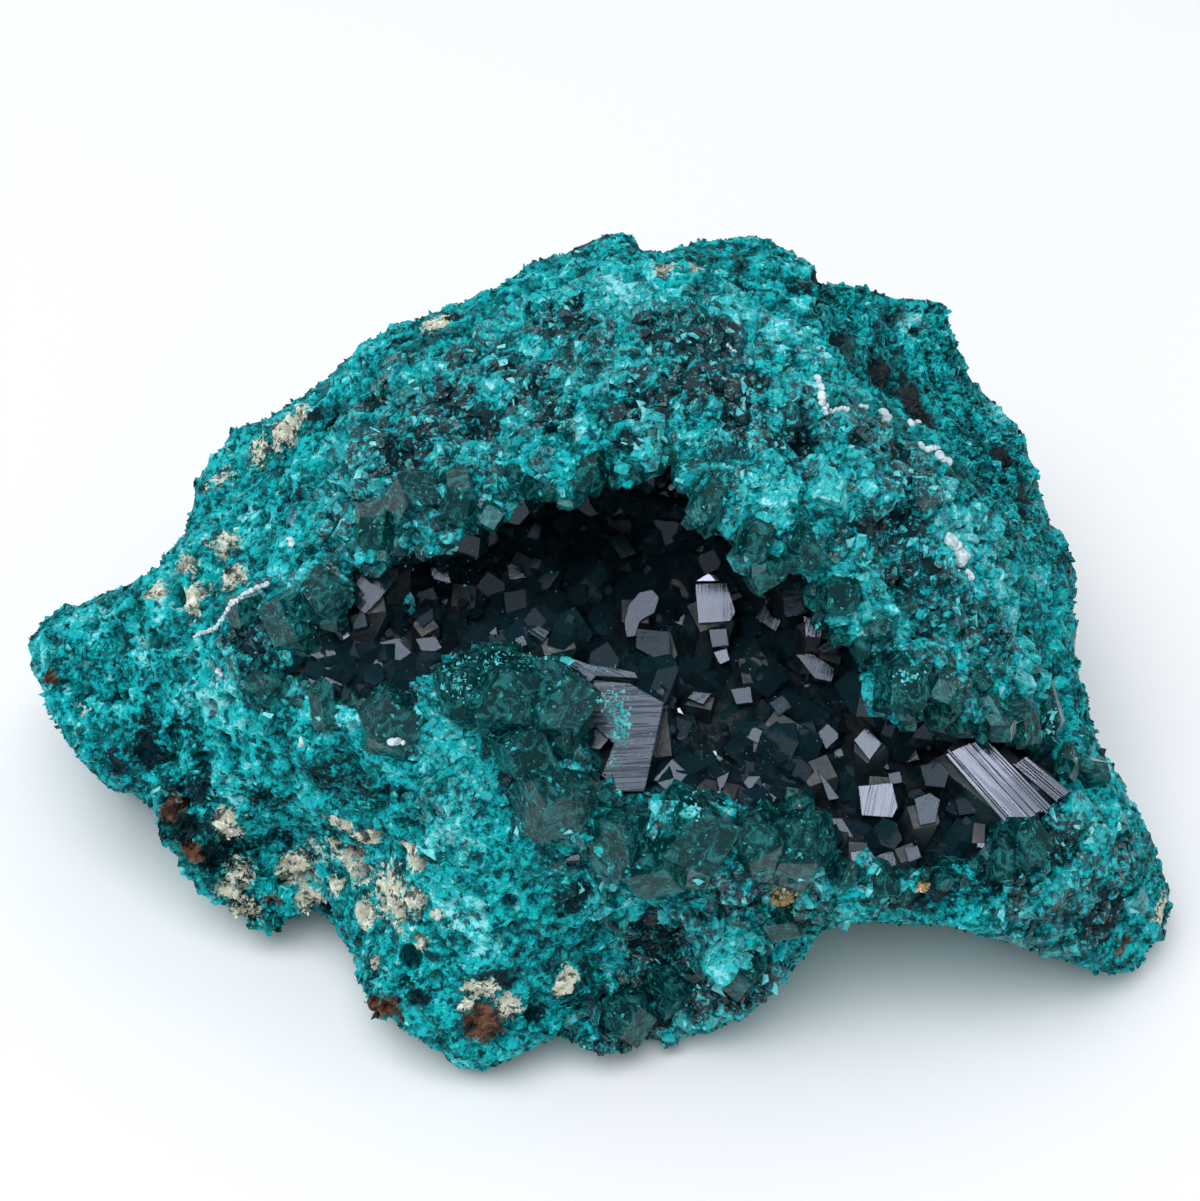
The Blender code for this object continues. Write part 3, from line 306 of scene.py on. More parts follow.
# Crystals of the hollow whose face mirrors the light: which glass, the lift of that face over the
# floor, how deep the crystal is under it, the way its grooves run in degrees, and its corners.
FACES = [
    ("plain", 7.6, 3.4, 90, [(8.3, 5.8), (11.1, 5.9), (11.9, 3.3), (11.4, 2.5), (8.6, 2.3)]),
    ("glint", 7.8, 1.0, 0, [(8.3, 6.0), (9.4, 6.7), (10.1, 6.6), (10.5, 6.1), (11.1, 6.0)]),
    ("dim", 7.2, 2.6, 60, [(3.5, 5.1), (4.6, 5.3), (5.2, 4.6), (4.8, 3.3), (3.5, 2.5), (3.1, 1.2),
        (2.3, 1.1), (2.1, 2.5), (2.5, 4.0)]),
    ("dark", 6.4, 2.6, 0, [(3.2, 1.9), (6.1, 1.6), (6.2, -0.4), (5.0, -0.9), (3.1, 0.2)]),
    ("dim", 6.4, 2.4, 0, [(15.6, 7.2), (17.5, 7.5), (18.8, 7.2), (18.6, 6.3), (15.9, 6.1)]),
    ("dark", 6.0, 2.4, 0, [(15.7, 5.9), (18.5, 6.1), (18.2, 3.2), (16.2, 2.8)]),
    ("plain", 6.2, 2.4, 80, [(17.8, 3.0), (20.0, 2.6), (20.1, 0.9), (18.0, 1.2)]),
    ("dim", 6.0, 2.0, 80, [(17.1, -0.4), (18.6, -0.3), (20.6, -1.6), (20.3, -2.8), (18.8, -2.5)]),
    ("dim", 6.6, 1.8, 90, [(9.5, 1.8), (11.1, 1.9), (11.3, 0.4), (9.8, 0.2)]),
    ("plain", 5.6, 1.2, 60, [(9.9, -0.2), (11.1, 0.2), (11.4, -0.9), (10.5, -1.3)]),
    ("glint", 4.0, 0.8, 0, [(8.9, -8.8), (10.2, -8.8), (10.3, -9.3), (9.3, -9.4)]),
    ("glint", 4.2, 0.7, 0, [(6.7, -5.1), (7.0, -5.0), (7.4, -5.7), (6.8, -5.5)]),
    ("dim", 6.0, 2.4, 40, [(-1.6, -7.4), (0.0, -6.8), (0.9, -7.7), (-0.4, -9.2), (-1.4, -8.8)]),
    ("plain", 6.4, 3.0, 50, [(22.2, -7.9), (23.3, -6.7), (24.7, -8.2), (23.6, -9.7)]),
    ("dim", 5.8, 3.0, 45, [(27.5, -13.0), (28.9, -12.5), (29.8, -13.1), (29.4, -15.1), (28.0, -15.4)]),
    ("dark", 6.0, 3.0, 45, [(28.0, -10.1), (29.8, -9.8), (30.6, -10.7), (30.2, -12.1), (28.5, -11.9)]),
    ("plain", 4.6, 2.0, 45, [(21.9, -17.7), (23.5, -17.4), (23.9, -18.4), (23.3, -19.3), (22.1, -19.1)]),
    ("dim", 4.4, 1.8, 45, [(26.6, -17.3), (27.8, -17.1), (28.2, -18.2), (27.0, -18.6)]),
    ("plain", 4.2, 1.2, 45, [(33.0, -16.8), (33.8, -16.9), (33.6, -17.4), (33.0, -17.3)]),
    ("glint", 9.6, 1.2, 30, [(-9.2, 11.2), (-8.7, 11.3), (-8.1, 10.6), (-7.6, 10.8), (-7.5, 9.8),
        (-8.1, 9.7), (-9.0, 10.6)]),
    ("glint", 6.0, 1.0, 0, [(6.1, 14.4), (7.7, 14.4), (6.3, 13.8)]),
    ("dark", 6.6, 1.4, 40, [(-4.4, 11.0), (-3.0, 12.0), (-2.6, 11.0), (-3.6, 10.2)]),
    ("dark", 6.0, 1.6, 120, [(0.6, 9.8), (2.2, 10.0), (3.2, 8.4), (1.8, 8.0)]),
    ("dim", 6.6, 2.6, 60, [(-22.3, 7.0), (-19.3, 7.4), (-18.0, 6.1), (-19.3, 4.4), (-20.6, 3.1),
        (-22.1, 4.4)]),
    ("plain", 5.8, 1.0, 80, [(-22.9, 2.8), (-22.2, 3.0), (-21.9, 1.2), (-22.5, 0.8)]),
    ("dark", 5.8, 1.6, 30, [(-22.0, 3.0), (-20.6, 3.3), (-20.3, 2.1), (-21.6, 1.7)]),
    ("dim", 5.6, 2.0, 30, [(-8.3, 7.7), (-7.0, 7.4), (-6.5, 6.3), (-7.9, 6.1)]),
    ("dim", 5.4, 1.6, 70, [(-15.0, 7.3), (-13.4, 7.3), (-13.0, 5.8), (-14.6, 6.2)]),
    ("dim", 5.2, 1.8, 20, [(-16.2, 1.0), (-14.4, 1.2), (-13.8, 0.2), (-15.4, -0.6)]),
    ("plain", 5.4, 1.6, 20, [(-13.7, -1.0), (-13.0, -0.1), (-12.4, -0.6), (-12.7, -1.2), (-13.8, -1.5)]),
    ("dim", 5.2, 1.6, 70, [(13.6, 2.8), (14.4, 4.2), (15.0, 3.0), (15.9, 2.6), (15.4, 1.6)]),
    ("dim", 5.0, 1.8, 10, [(11.4, -3.4), (13.2, -3.2), (13.4, -4.6), (11.9, -4.8)]),
    ("dark", 5.2, 1.6, 50, [(14.8, -4.6), (16.0, -3.9), (16.8, -5.0), (15.6, -5.8)]),
    ("dim", 5.0, 1.8, 60, [(10.2, -11.2), (11.4, -10.6), (10.9, -12.0), (10.4, -12.3)]),
    ("dim", 5.0, 1.6, 30, [(20.9, -4.4), (22.4, -4.0), (22.2, -5.0), (21.2, -5.0)]),
    ("dim", 4.8, 1.8, 60, [(19.0, -10.4), (20.0, -11.6), (21.0, -13.0), (20.0, -13.2)]),
    ("dim", 4.6, 1.4, 20, [(25.2, -10.8), (26.3, -10.6), (26.5, -11.6), (25.4, -11.8)]),
    ("dark", 4.6, 1.4, 20, [(18.8, -14.0), (20.0, -14.0), (20.2, -15.0), (19.0, -15.0)]),
    ("dim", 4.6, 1.4, 70, [(3.4, -13.4), (4.5, -13.3), (4.6, -14.2), (3.4, -14.2)]),
    ("dim", 3.6, 1.4, 10, [(-3.4, -18.2), (-1.8, -17.8), (-1.7, -18.4), (-3.3, -18.6)]),
    ("striated", 6.6, 3.6, 2, [(-0.6, -2.6), (2.6, -2.9), (5.6, -4.6), (3.9, -12.4), (1.6, -12.4),
        (0.1, -11.0), (1.2, -8.2), (-0.7, -6.5)]),
    ("striated", 6.8, 2.0, -28, [(-5.2, -0.2), (-3.6, -0.3), (-1.0, -1.2), (3.0, -1.9), (3.4, -2.5),
        (-0.4, -2.3), (-1.0, -3.0), (-3.0, -1.6)]),
    ("striated", 6.2, 2.0, 20, [(19.0, 0.1), (20.0, 0.9), (21.4, 0.8), (20.8, -0.3), (19.4, -0.2)]),
    ("striated", 6.0, 2.0, 30, [(7.6, -4.2), (8.2, -3.6), (9.8, -3.8), (9.0, -4.8)]),
    ("bright", 5.8, 3.0, 78, [(22.6, -11.9), (25.6, -11.6), (26.1, -13.8), (25.6, -14.7), (22.9, -14.5)]),
    ("striated", 4.6, 2.0, 40, [(26.4, -8.8), (27.6, -8.4), (28.0, -9.6), (26.8, -9.9)]),
]
# Bundles of grooved laths: the lift and the depth, how many laths, how far each may lean and
# step, the near end from side to side, and the far end in the same order.
LATHS = [
    (8.2, 4.6, 10, 3.6, 0.07, ((30.0, -8.9), (33.4, -7.3)), ((36.4, -16.2), (40.0, -14.2))),
    (6.4, 3.6, 5, 6.0, 0.25, ((36.0, -9.9), (37.2, -9.2)), ((40.2, -13.5), (41.4, -12.6))),
]
# Big cloudy crystals of the rim and the front: across, up, width, length, and how far they lean
# across and up from the line of sight.
CLOUDY = [
    (-3.8, -4.0, 6.4, 7.2, 0.3, 0.5), (-8.0, -3.2, 7.6, 7.0, -0.1, 0.5), (-11.8, -3.4, 5.6, 5.8, -0.4, 0.4),
    (-6.6, -8.8, 5.6, 6.4, -0.5, 0.1), (-3.4, -7.4, 4.4, 5.4, 0.3, 0.1),
    (-4.2, -13.0, 6.8, 6.0, -0.1, -0.1), (-18.0, -5.8, 5.6, 4.8, 0.1, 0.4),
    (-29.4, -2.4, 3.4, 4.0, -0.2, 0.4), (-27.0, 3.0, 5.6, 5.6, -0.3, 0.5),
    (-31.0, 3.4, 3.6, 4.4, -0.3, 0.4), (-24.0, 5.2, 4.0, 4.6, 0.2, 0.4), (2.4, -16.2, 7.6, 6.4, -0.1, 0.3),
    (8.0, -15.6, 8.0, 6.4, 0.1, 0.5), (5.0, -19.0, 5.4, 4.8, 0.2, 0.0), (14.0, -16.2, 4.8, 6.8, -0.1, 0.7),
    (17.8, -16.6, 5.2, 6.4, 0.2, 0.6), (26.2, -3.6, 4.6, 5.6, -0.3, -0.4),
    (36.8, -6.6, 3.2, 5.4, 0.1, -0.8), (39.4, -5.6, 2.0, 5.4, 0.2, -1.2),
    (41.0, -10.2, 2.2, 3.6, -0.1, -0.6), (24.6, 1.8, 2.6, 3.6, -0.3, -0.5),
    (30.2, -3.6, 2.8, 3.8, 0.1, -0.7), (33.0, -2.6, 2.4, 3.8, 0.3, -0.7), (20.8, 4.6, 3.4, 4.6, -0.4, -0.5),
    (13.4, 9.6, 3.0, 4.4, -0.5, -0.7), (17.6, 8.6, 3.2, 4.2, -0.2, -0.8), (9.2, 12.2, 3.2, 4.4, -0.4, -0.8),
    (-1.0, 15.2, 3.0, 4.4, -0.2, -0.9), (-6.6, 13.6, 2.8, 4.2, 0.1, -0.9),
    (-12.0, 12.4, 4.4, 5.0, 0.1, -0.6), (-16.4, 13.0, 5.0, 4.8, -0.1, -0.1),
    (-19.4, 10.4, 3.6, 4.6, 0.2, -0.5), (21.4, -19.4, 2.6, 3.4, 0.1, 0.5),
    (37.2, -17.0, 4.2, 5.0, 0.3, -0.7), (34.0, -17.4, 3.0, 3.8, 0.0, -0.6),
    (6.6, -29.6, 5.4, 4.0, 0.0, -0.4), (12.4, -28.0, 5.0, 4.0, 0.3, -0.5),
    (2.2, -32.4, 5.2, 4.0, -0.2, -0.6), (16.0, -23.4, 4.0, 3.8, 0.4, -0.1),
]

# Node helpers.


def feed(tree, node, inputs):
    """Sets a node's inputs, each to a constant or to another node's socket."""
    for key, value in inputs.items():
        if isinstance(value, bpy.types.NodeSocket):
            tree.links.new(value, node.inputs[key])
        else:
            node.inputs[key].default_value = value


def put(tree, kind, inputs=None, **settings):
    """Adds a node."""
    made = tree.nodes.new(kind)
    for name, value in settings.items():
        setattr(made, name, value)
    feed(tree, made, inputs or {})
    return made


def open_sockets(tree, way, kind, *names):
    """Adds inputs or outputs of one kind to a tree."""
    return [tree.interface.new_socket(name, in_out=way, socket_type=f"NodeSocket{kind}") for name in names]


def reckon(tree, how, first, second=0.0, third=0.0, clamp=False):
    """One step of arithmetic."""
    values = {0: first, 1: second, 2: third}
    return put(tree, "ShaderNodeMath", values, operation=how, use_clamp=clamp).outputs[0]


def add(tree, first, *others):
    for other in others:
        first = reckon(tree, "ADD", first, other)
    return first


def minus(tree, first, second, clamp=False):
    return reckon(tree, "SUBTRACT", first, second, clamp=clamp)


def times(tree, first, *others, clamp=False):
    for other in others:
        first = reckon(tree, "MULTIPLY", first, other, clamp=clamp)
    return first


def rest_of(tree, value, share):
    """What is left of 1 once that share of the value is taken."""
    return minus(tree, 1.0, times(tree, value, share))


def scaled_vector(tree, vector, factor):
    return put(tree, "ShaderNodeVectorMath", {0: vector, "Scale": factor}, operation="SCALE").outputs[0]


def ramp(tree, value, low, high, to_low=0.0, to_high=1.0):
    """The value brought from low..high to to_low..to_high, with soft ends."""
    inputs = {"Value": value, "From Min": low, "From Max": high, "To Min": to_low, "To Max": to_high}
    return put(tree, "ShaderNodeMapRange", inputs, interpolation_type="SMOOTHSTEP").outputs["Result"]


def blend(tree, share, first, second):
    """A colour between two."""
    return put(tree, "ShaderNodeMix", {0: share, 6: first, 7: second}, data_type="RGBA").outputs[2]


def noise(tree, where, size_mm, detail=3.0, rough=0.55, distort=0.0):
    """Cloudy noise whose largest lumps are that big."""
    inputs = {"Vector": where, "Scale": PER_MM / size_mm, "Detail": detail, "Roughness": rough,
              "Distortion": distort}
    return put(tree, "ShaderNodeTexNoise", inputs).outputs[0]


def cells(tree, where, size_mm):
    """Cells of that size: the distance to each one's middle, and a number of its own."""
    made = put(tree, "ShaderNodeTexVoronoi", {"Vector": where, "Scale": PER_MM / size_mm})
    own = put(tree, "ShaderNodeSeparateColor", {0: made.outputs["Color"]}).outputs[0]
    return made.outputs["Distance"], own


def cracks(tree, where, size_mm):
    """Thin lines between cells of that size."""
    inputs = {"Vector": where, "Scale": PER_MM / size_mm}
    made = put(tree, "ShaderNodeTexVoronoi", inputs, feature="DISTANCE_TO_EDGE")
    return ramp(tree, made.outputs["Distance"], CRACK_WIDTH, 0.0)


def named(tree, name):
    """A field of a Geometry Nodes tree that reads a stored number."""
    kind = "GeometryNodeInputNamedAttribute"
    return put(tree, kind, {"Name": name}, data_type="FLOAT").outputs["Attribute"]


def keep_number(tree, shape, name, value, domain):
    """Stores a number on the shape."""
    inputs = {"Geometry": shape, "Name": name, "Value": value}
    return put(tree, "GeometryNodeStoreNamedAttribute", inputs, data_type="FLOAT", domain=domain).outputs[0]


def colour(red, green, blue):
    return (red, green, blue, 1.0)


# Meshes.


def link(name, mesh):
    made = bpy.data.objects.new(name, mesh)
    bpy.context.scene.collection.objects.link(made)
    return made


def shell(name, bm):
    """Links a mesh that was built in millimetres."""
    bmesh.ops.scale(bm, vec=(MM, MM, MM), verts=bm.verts)
    mesh = bpy.data.meshes.new(name)
    bm.to_mesh(mesh)
    bm.free()
    return link(name, mesh)


def settle(made, name):
    """The object's evaluated mesh as a plain one, with no modifier left."""
    graph = bpy.context.evaluated_depsgraph_get()
    mesh = bpy.data.meshes.new_from_object(made.evaluated_get(graph))
    mesh.name = name
    made.modifiers.clear()
    made.data = mesh


def merged_copy(node, name):
    """A copy of a CAD node's mesh with its loose triangles joined."""
    bm = bmesh.new()
    bm.from_mesh(frame["nodes"][node].data)
    bmesh.ops.remove_doubles(bm, verts=bm.verts, dist=WELD)
    mesh = bpy.data.meshes.new(name)
    bm.to_mesh(mesh)
    bm.free()
    return link(name, mesh)


def vectors_of(items, field):
    flat = np.empty(len(items) * 3, dtype=np.float32)
    items.foreach_get(field, flat)
    return flat.reshape(-1, 3).astype(float)


def corners_of(mesh):
    """The mesh's corners in millimetres."""
    return vectors_of(mesh.vertices, "co") * PER_MM


def normals_of(mesh):
    return vectors_of(mesh.vertex_normals, "vector")


def move_corners(mesh, points):
    """Brings the mesh's corners to those points, given in millimetres."""
    mesh.vertices.foreach_set("co", (points * MM).ravel())
    mesh.update()


def keep_above(mesh, least):
    """Lifts the corners that are lower than that."""
    points = corners_of(mesh)
    points[:, 2] = np.maximum(points[:, 2], least)
    move_corners(mesh, points)


def store(mesh, name, values):
    """Stores one number for each corner."""
    made = mesh.attributes.new(name, "FLOAT", "POINT")
    made.data.foreach_set("value", np.asarray(values, dtype=np.float32))


def finish_piece(piece, slot, material=None):
    if material:
        piece.data.materials.append(material)
    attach(piece, "root")
    return piece


# The rock's skin. Its numbers are in millimetres but for shares and steepness.
WELD = 1e-6
PATCH_EDGE = 1.35
SPOT_STEEPNESS = 1.2
SKIN_VOXEL = 0.90
SHOWN_ABOVE = 6.0
FINE_ABOVE = 2.5
FINE_FACING = 0.12
STEP_RISE = 0.45
# How far the painted shadow at the foot of the ridge reaches, and how dark the painted shade over the wing
# is.
RIDGE_SHADOW_REACH = 1.5
WING_PAINTED_SHADE = 0.34
FRONT_FROM = -14.0
FRONT_FADE = 8.0
MOUTH_FROM = -1.0
MOUTH_FADE = 4.0
INSIDE_FADE = 1.5
LOW_FROM = 0.4
LOW_EDGE = 1.6
CRUMBLY_RELIEF = 0.8
BEND_SIZE = 2.4
BEND = 1.6


def near_places(points, rows):
    """For each row that meets the rock: how many reaches each point is from it, and its strength."""
    for across, up, reach, strength in rows:
        place = WHOLE.met(across, up)
        if place is not None:
            yield np.linalg.norm(points - np.array(place), axis=1) / reach, strength


def patch_field(points, patches):
    """How strongly each point belongs to a list of patches."""
    field = np.zeros(len(points))
    for away, strength in near_places(points, patches):
        field = np.maximum(field, strength * np.clip(PATCH_EDGE - away, 0, 1))
    return field


def spot_field(points, spots):
    """How high each point of a list of round spots is."""
    field = np.zeros(len(points))
    for away, height in near_places(points, spots):
        np.maximum(field, height * np.exp(-SPOT_STEEPNESS * away ** 2), out=field)
    return field


def from_stretch(place, start, end):
    """The way from the start of a stretch of line to each place, the stretch, and the distance."""
    along = end - start
    rel = place - start
    share = np.clip((rel @ along) / (along @ along), 0, 1)
    return rel, along, np.hypot(*(rel - share[:, None] * along).T)


def mouth_distance(across, up):
    """How far each place of the view is from the mouth's line, below 0 inside it."""
    marks = np.array(MOUTH + MOUTH[:1], float)
    best = np.full(len(across), VERY_FAR)
    inside = np.zeros(len(across), dtype=bool)
    place = np.column_stack([across, up])
    for start, end in zip(marks, marks[1:]):
        _, along, away = from_stretch(place, start, end)
        best = np.minimum(best, away)
        crosses = (start[1] > up) != (end[1] > up)
        at = start[0] + (up - start[1]) / (along[1] + 1e-12) * along[0]
        inside ^= crosses & (across < at)
    return np.where(inside, -best, best)


def behind_ridge(across, up):
    """How far each place of the view is behind the ridge, or 0 before it and past its ends."""
    marks = np.array(RIDGE, float)
    best = np.full(len(across), VERY_FAR)
    side = np.zeros(len(across))
    place = np.column_stack([across, up])
    for start, end in zip(marks, marks[1:]):
        rel, along, away = from_stretch(place, start, end)
        nearer = away < best
        best = np.where(nearer, away, best)
        side = np.where(nearer, rel[:, 1] * along[0] - rel[:, 0] * along[1], side)
    return np.where(side > 0, best, 0.0)


def dent_skin(mesh):
    """Presses the dents and the step behind the ridge in, and raises the bumps."""
    points = corners_of(mesh)
    normals = normals_of(mesh)
    across, up, _ = to_view(points)
    behind = behind_ridge(across, up)
    seen_side = np.clip(4.0 * (normals @ TOWARD) + 0.4, 0, 1) * (points[:, 2] > SHOWN_ABOVE)
    step = STEP_DEPTH * np.clip(behind / STEP_RISE, 0, 1) * np.exp(-((behind / STEP_REACH) ** 2))
    depth = np.maximum(spot_field(points, DENTS), step * seen_side)
    move_corners(mesh, points + normals * (spot_field(points, BUMPS) - depth)[:, None])


def skin_fields(mesh):
    """Stores what the skin is like at each corner, with painted shade behind the ridge, and where it is free
    to grow.
    """
    points = corners_of(mesh)
    normals = normals_of(mesh)
    across, up, out = to_view(points)
    behind = behind_ridge(across, up)
    shown = (normals @ TOWARD > -0.1) & (points[:, 2] > SHOWN_ABOVE)
    # Painted shadow in a band at the foot of the step behind the ridge.
    painted_ridge_shadow = np.where(shown & (behind > 0.05), np.exp(-((behind / RIDGE_SHADOW_REACH) ** 2)), 0.0)
    # Painted shade that darkens the whole wing behind the ridge.
    wing = np.where(shown, np.clip(behind, 0, 1), 0.0) * WING_PAINTED_SHADE
    for name, patches in PATCHES.items():
        field = patch_field(points, patches)
        # The dark field also carries both painted shades.
        if name == "dark":
            field = np.maximum(field, np.maximum(painted_ridge_shadow, wing))
        store(mesh, name, field)
    far = mouth_distance(across, up)
    front = np.clip((out - FRONT_FROM) / FRONT_FADE, 0, 1)
    store(mesh, "mouth", np.clip(1.0 - (far - MOUTH_FROM) / MOUTH_FADE, 0, 1) * front)
    store(mesh, "inside", np.clip(-far / INSIDE_FADE, 0, 1) * front)
    off_floor = np.clip((points[:, 2] - LOW_FROM) / LOW_EDGE, 0, 1)
    store(mesh, "free", off_floor * np.clip(1.3 + 1.6 * normals[:, 2], 0, 1) ** 0.5)


def relief_tree():
    """Lumps, knobs, pits and grains of the rock's skin, raised along its normals."""
    tree = bpy.data.node_groups.new("druse relief", "GeometryNodeTree")
    open_sockets(tree, "INPUT", "Geometry", "Geometry")
    for name, size_mm in (
        ("Lump size", 5.0), ("Lump height", 2.4), ("Knob size", 2.3), ("Knob height", 1.7),
        ("Pit size", 1.9), ("Pit depth", 1.5), ("Grain size", 0.9), ("Grain height", 0.45),
    ):
        open_sockets(tree, "INPUT", "Float", name)[0].default_value = size_mm
    open_sockets(tree, "OUTPUT", "Geometry", "Geometry")
    entry = put(tree, "NodeGroupInput").outputs
    where = put(tree, "GeometryNodeInputPosition").outputs[0]

    def texture(kind, place, size, **inputs):
        scale = reckon(tree, "DIVIDE", PER_MM, entry[size])
        return put(tree, kind, {"Vector": place, "Scale": scale, **inputs}).outputs

    bend = put(tree, "ShaderNodeTexNoise", {"Vector": where, "Scale": PER_MM / BEND_SIZE, "Detail": 2.0})
    bend = scaled_vector(tree, bend.outputs[1], BEND * MM)
    bent = put(tree, "ShaderNodeVectorMath", {0: where, 1: bend}, operation="ADD").outputs[0]
    lump = texture("ShaderNodeTexNoise", where, "Lump size", Detail=3.0, Roughness=0.6)[0]
    knob = texture("ShaderNodeTexNoise", bent, "Knob size", Detail=2.0)[0]
    pit = texture("ShaderNodeTexVoronoi", bent, "Pit size")["Distance"]
    grain = texture("ShaderNodeTexVoronoi", bent, "Grain size")["Distance"]
    deep = times(
        tree, ramp(tree, pit, 0.62, 0.12), ramp(tree, noise(tree, where, 6.0, 2.0), 0.36, 0.58, 0.25, 1.0),
        rest_of(tree, named(tree, "glassy"), 0.75),
    )
    height = add(
        tree, times(tree, minus(tree, lump, 0.5), entry["Lump height"]),
        times(tree, minus(tree, knob, 0.5), entry["Knob height"]),
    )
    height = minus(tree, height, times(tree, deep, entry["Pit depth"]))
    height = add(tree, height, times(tree, minus(tree, 0.5, grain), entry["Grain height"]))
    crumbly = reckon(tree, "MULTIPLY_ADD", named(tree, "crumbly"), CRUMBLY_RELIEF, 1.0)
    height = times(tree, height, crumbly, MM, named(tree, "free"))
    push = scaled_vector(tree, put(tree, "GeometryNodeInputNormal").outputs[0], height)
    # The pits' depth, which the druse's colour turns into painted shade.
    kept = keep_number(tree, entry["Geometry"], "pit", deep, "POINT")
    moved = put(tree, "GeometryNodeSetPosition", {"Geometry": kept, "Offset": push})
    put(tree, "NodeGroupOutput", {0: moved.outputs[0]})
    return tree


def rock_skin():
    """The whole rock, finest where its front and top show it."""
    made = merged_copy("matrix", "rock_skin")
    even = made.modifiers.new("even", "REMESH")
    even.mode = "VOXEL"
    even.voxel_size = SKIN_VOXEL * MM
    settle(made, "rock_skin")
    bm = bmesh.new()
    bm.from_mesh(made.data)
    bmesh.ops.smooth_vert(bm, verts=bm.verts, factor=0.5, use_axis_x=True, use_axis_y=True, use_axis_z=True)
    toward = Vector(TOWARD)
    shown = []
    for face in bm.faces:
        middle = face.calc_center_median() * PER_MM
        if middle.z > FINE_ABOVE and face.normal.dot(toward) > FINE_FACING:
            shown.append(face)
    edges = list({edge for face in shown for edge in face.edges})
    bmesh.ops.subdivide_edges(bm, edges=edges, cuts=1, use_grid_fill=True)
    bm.to_mesh(made.data)
    bm.free()
    skin_fields(made.data)
    dent_skin(made.data)
    relief = made.modifiers.new("relief", "NODES")
    relief.node_group = relief_tree()
    settle(made, "rock_skin")
    keep_above(made.data, 0.0)
    return made


# Crystals.
RHOMB_SLOPE = math.radians(51)
SAME_CORNER = 0.01
FLAT_ANGLE = 0.02
CHAMFER = 0.05
FLARE = 1.06
OVER_CRUST = 0.35
LIGHT_STEP = 1.6
GLINT_REACH = 10.0


def planes_corners(planes):
    """The corners of the solid that the planes shut in. Each plane is its way and its distance."""
    ways = np.array([list(way) for way, _ in planes])
    far = np.array([distance for _, distance in planes])
    corners = []
    for a in range(len(planes)):
        for b in range(a):
            for c in range(b):
                three = ways[[a, b, c]]
                if abs(np.linalg.det(three)) < 1e-5:
                    continue
                spot = np.linalg.solve(three, far[[a, b, c]])
                if (ways @ spot <= far + 1e-4).all():
                    corners.append(spot)
    return corners


def add_hull(bm, corners):
    """Adds the convex solid round the corners."""
    made = bmesh.ops.convex_hull(bm, input=[bm.verts.new(corner) for corner in corners])
    spare = {v for v in made["geom_interior"] + made["geom_unused"] if isinstance(v, bmesh.types.BMVert)}
    bmesh.ops.delete(bm, geom=list(spare), context="VERTS")


def hull(corners):
    """The convex solid round the corners, in flat faces, where each corner also keeps its own place."""
    bm = bmesh.new()
    spots = []
    for corner in corners:
        spot = Vector(corner)
        if all((spot - other).length > SAME_CORNER for other in spots):
            spots.append(spot)
    add_hull(bm, spots)
    bmesh.ops.dissolve_limit(bm, angle_limit=FLAT_ANGLE, verts=bm.verts, edges=bm.edges)
    bmesh.ops.recalc_face_normals(bm, faces=bm.faces)
    own = bm.verts.layers.float_vector.new("own")
    for vert in bm.verts:
        vert[own] = vert.co
    return bm


def chamfered(bm):
    bmesh.ops.bevel(bm, geom=bm.edges, offset=CHAMFER, segments=1, affect="EDGES", profile=0.5)


def dioptase_planes(width, length, rng, root=0.45):
    """A six-sided prism along +Z with three rhomb faces on top."""
    half = width / 2
    planes = []
    for k in range(6):
        turn = math.radians(60 * k)
        away = half * (1.0 if k in (0, 3) else rng.uniform(0.82, 1.05))
        planes.append((Vector((math.cos(turn), math.sin(turn), 0)), away))
    top = length * (1 - root)
    lean = math.sin(RHOMB_SLOPE)
    for k in range(3):
        turn = math.radians(30 + 120 * k)
        way = Vector((lean * math.cos(turn), lean * math.sin(turn), math.cos(RHOMB_SLOPE)))
        planes.append((way, top * math.cos(RHOMB_SLOPE) * rng.uniform(0.88, 1.06) + half * 0.25))
    planes.append((Vector((0, 0, -1)), length * root))
    return planes


def any_way(rng):
    return Vector((rng.gauss(0, 1), rng.gauss(0, 1), rng.gauss(0, 1))).normalized()


def whole_crystal(rng):
    return planes_corners(dioptase_planes(1.0, rng.uniform(0.9, 1.9), rng))


def broken_crystal(rng):
    """A crystal snapped across at random."""
    planes = dioptase_planes(1.0, rng.uniform(0.8, 1.7), rng, root=0.4)
    for _ in range(3):
        way = any_way(rng)
        way.z = abs(way.z)
        planes.append((way, rng.uniform(0.16, 0.42)))
    return planes_corners(planes)


def grain(rng):
    """A rough grain of about ten faces."""
    return [any_way(rng) * rng.uniform(0.34, 0.6) for _ in range(7)]


def flake(rng):
    """A thin broken plate."""
    corners = []
    for k in range(4):
        turn = math.radians(90 * k + rng.uniform(-40, 40))
        reach = rng.uniform(0.18, 0.62)
        for z in (-0.06, 0.06):
            corners.append(Vector((1.4 * reach * math.cos(turn), reach * math.sin(turn), z)))
    return corners


def shape_set(name, count, make, rng):
    """A collection of shapes a millimetre wide for scattering, kept out of the render."""
    group = bpy.data.collections.new(name)
    bpy.context.scene.collection.children.link(group)
    for index, bm in enumerate([hull(make(rng)) for _ in range(count)]):
        made = shell(f"{name}_{index}", bm)
        bpy.context.scene.collection.objects.unlink(made)
        group.objects.link(made)
    return group


def clear_set(group):
    for made in list(group.objects):
        bpy.data.objects.remove(made)
    bpy.data.collections.remove(group)


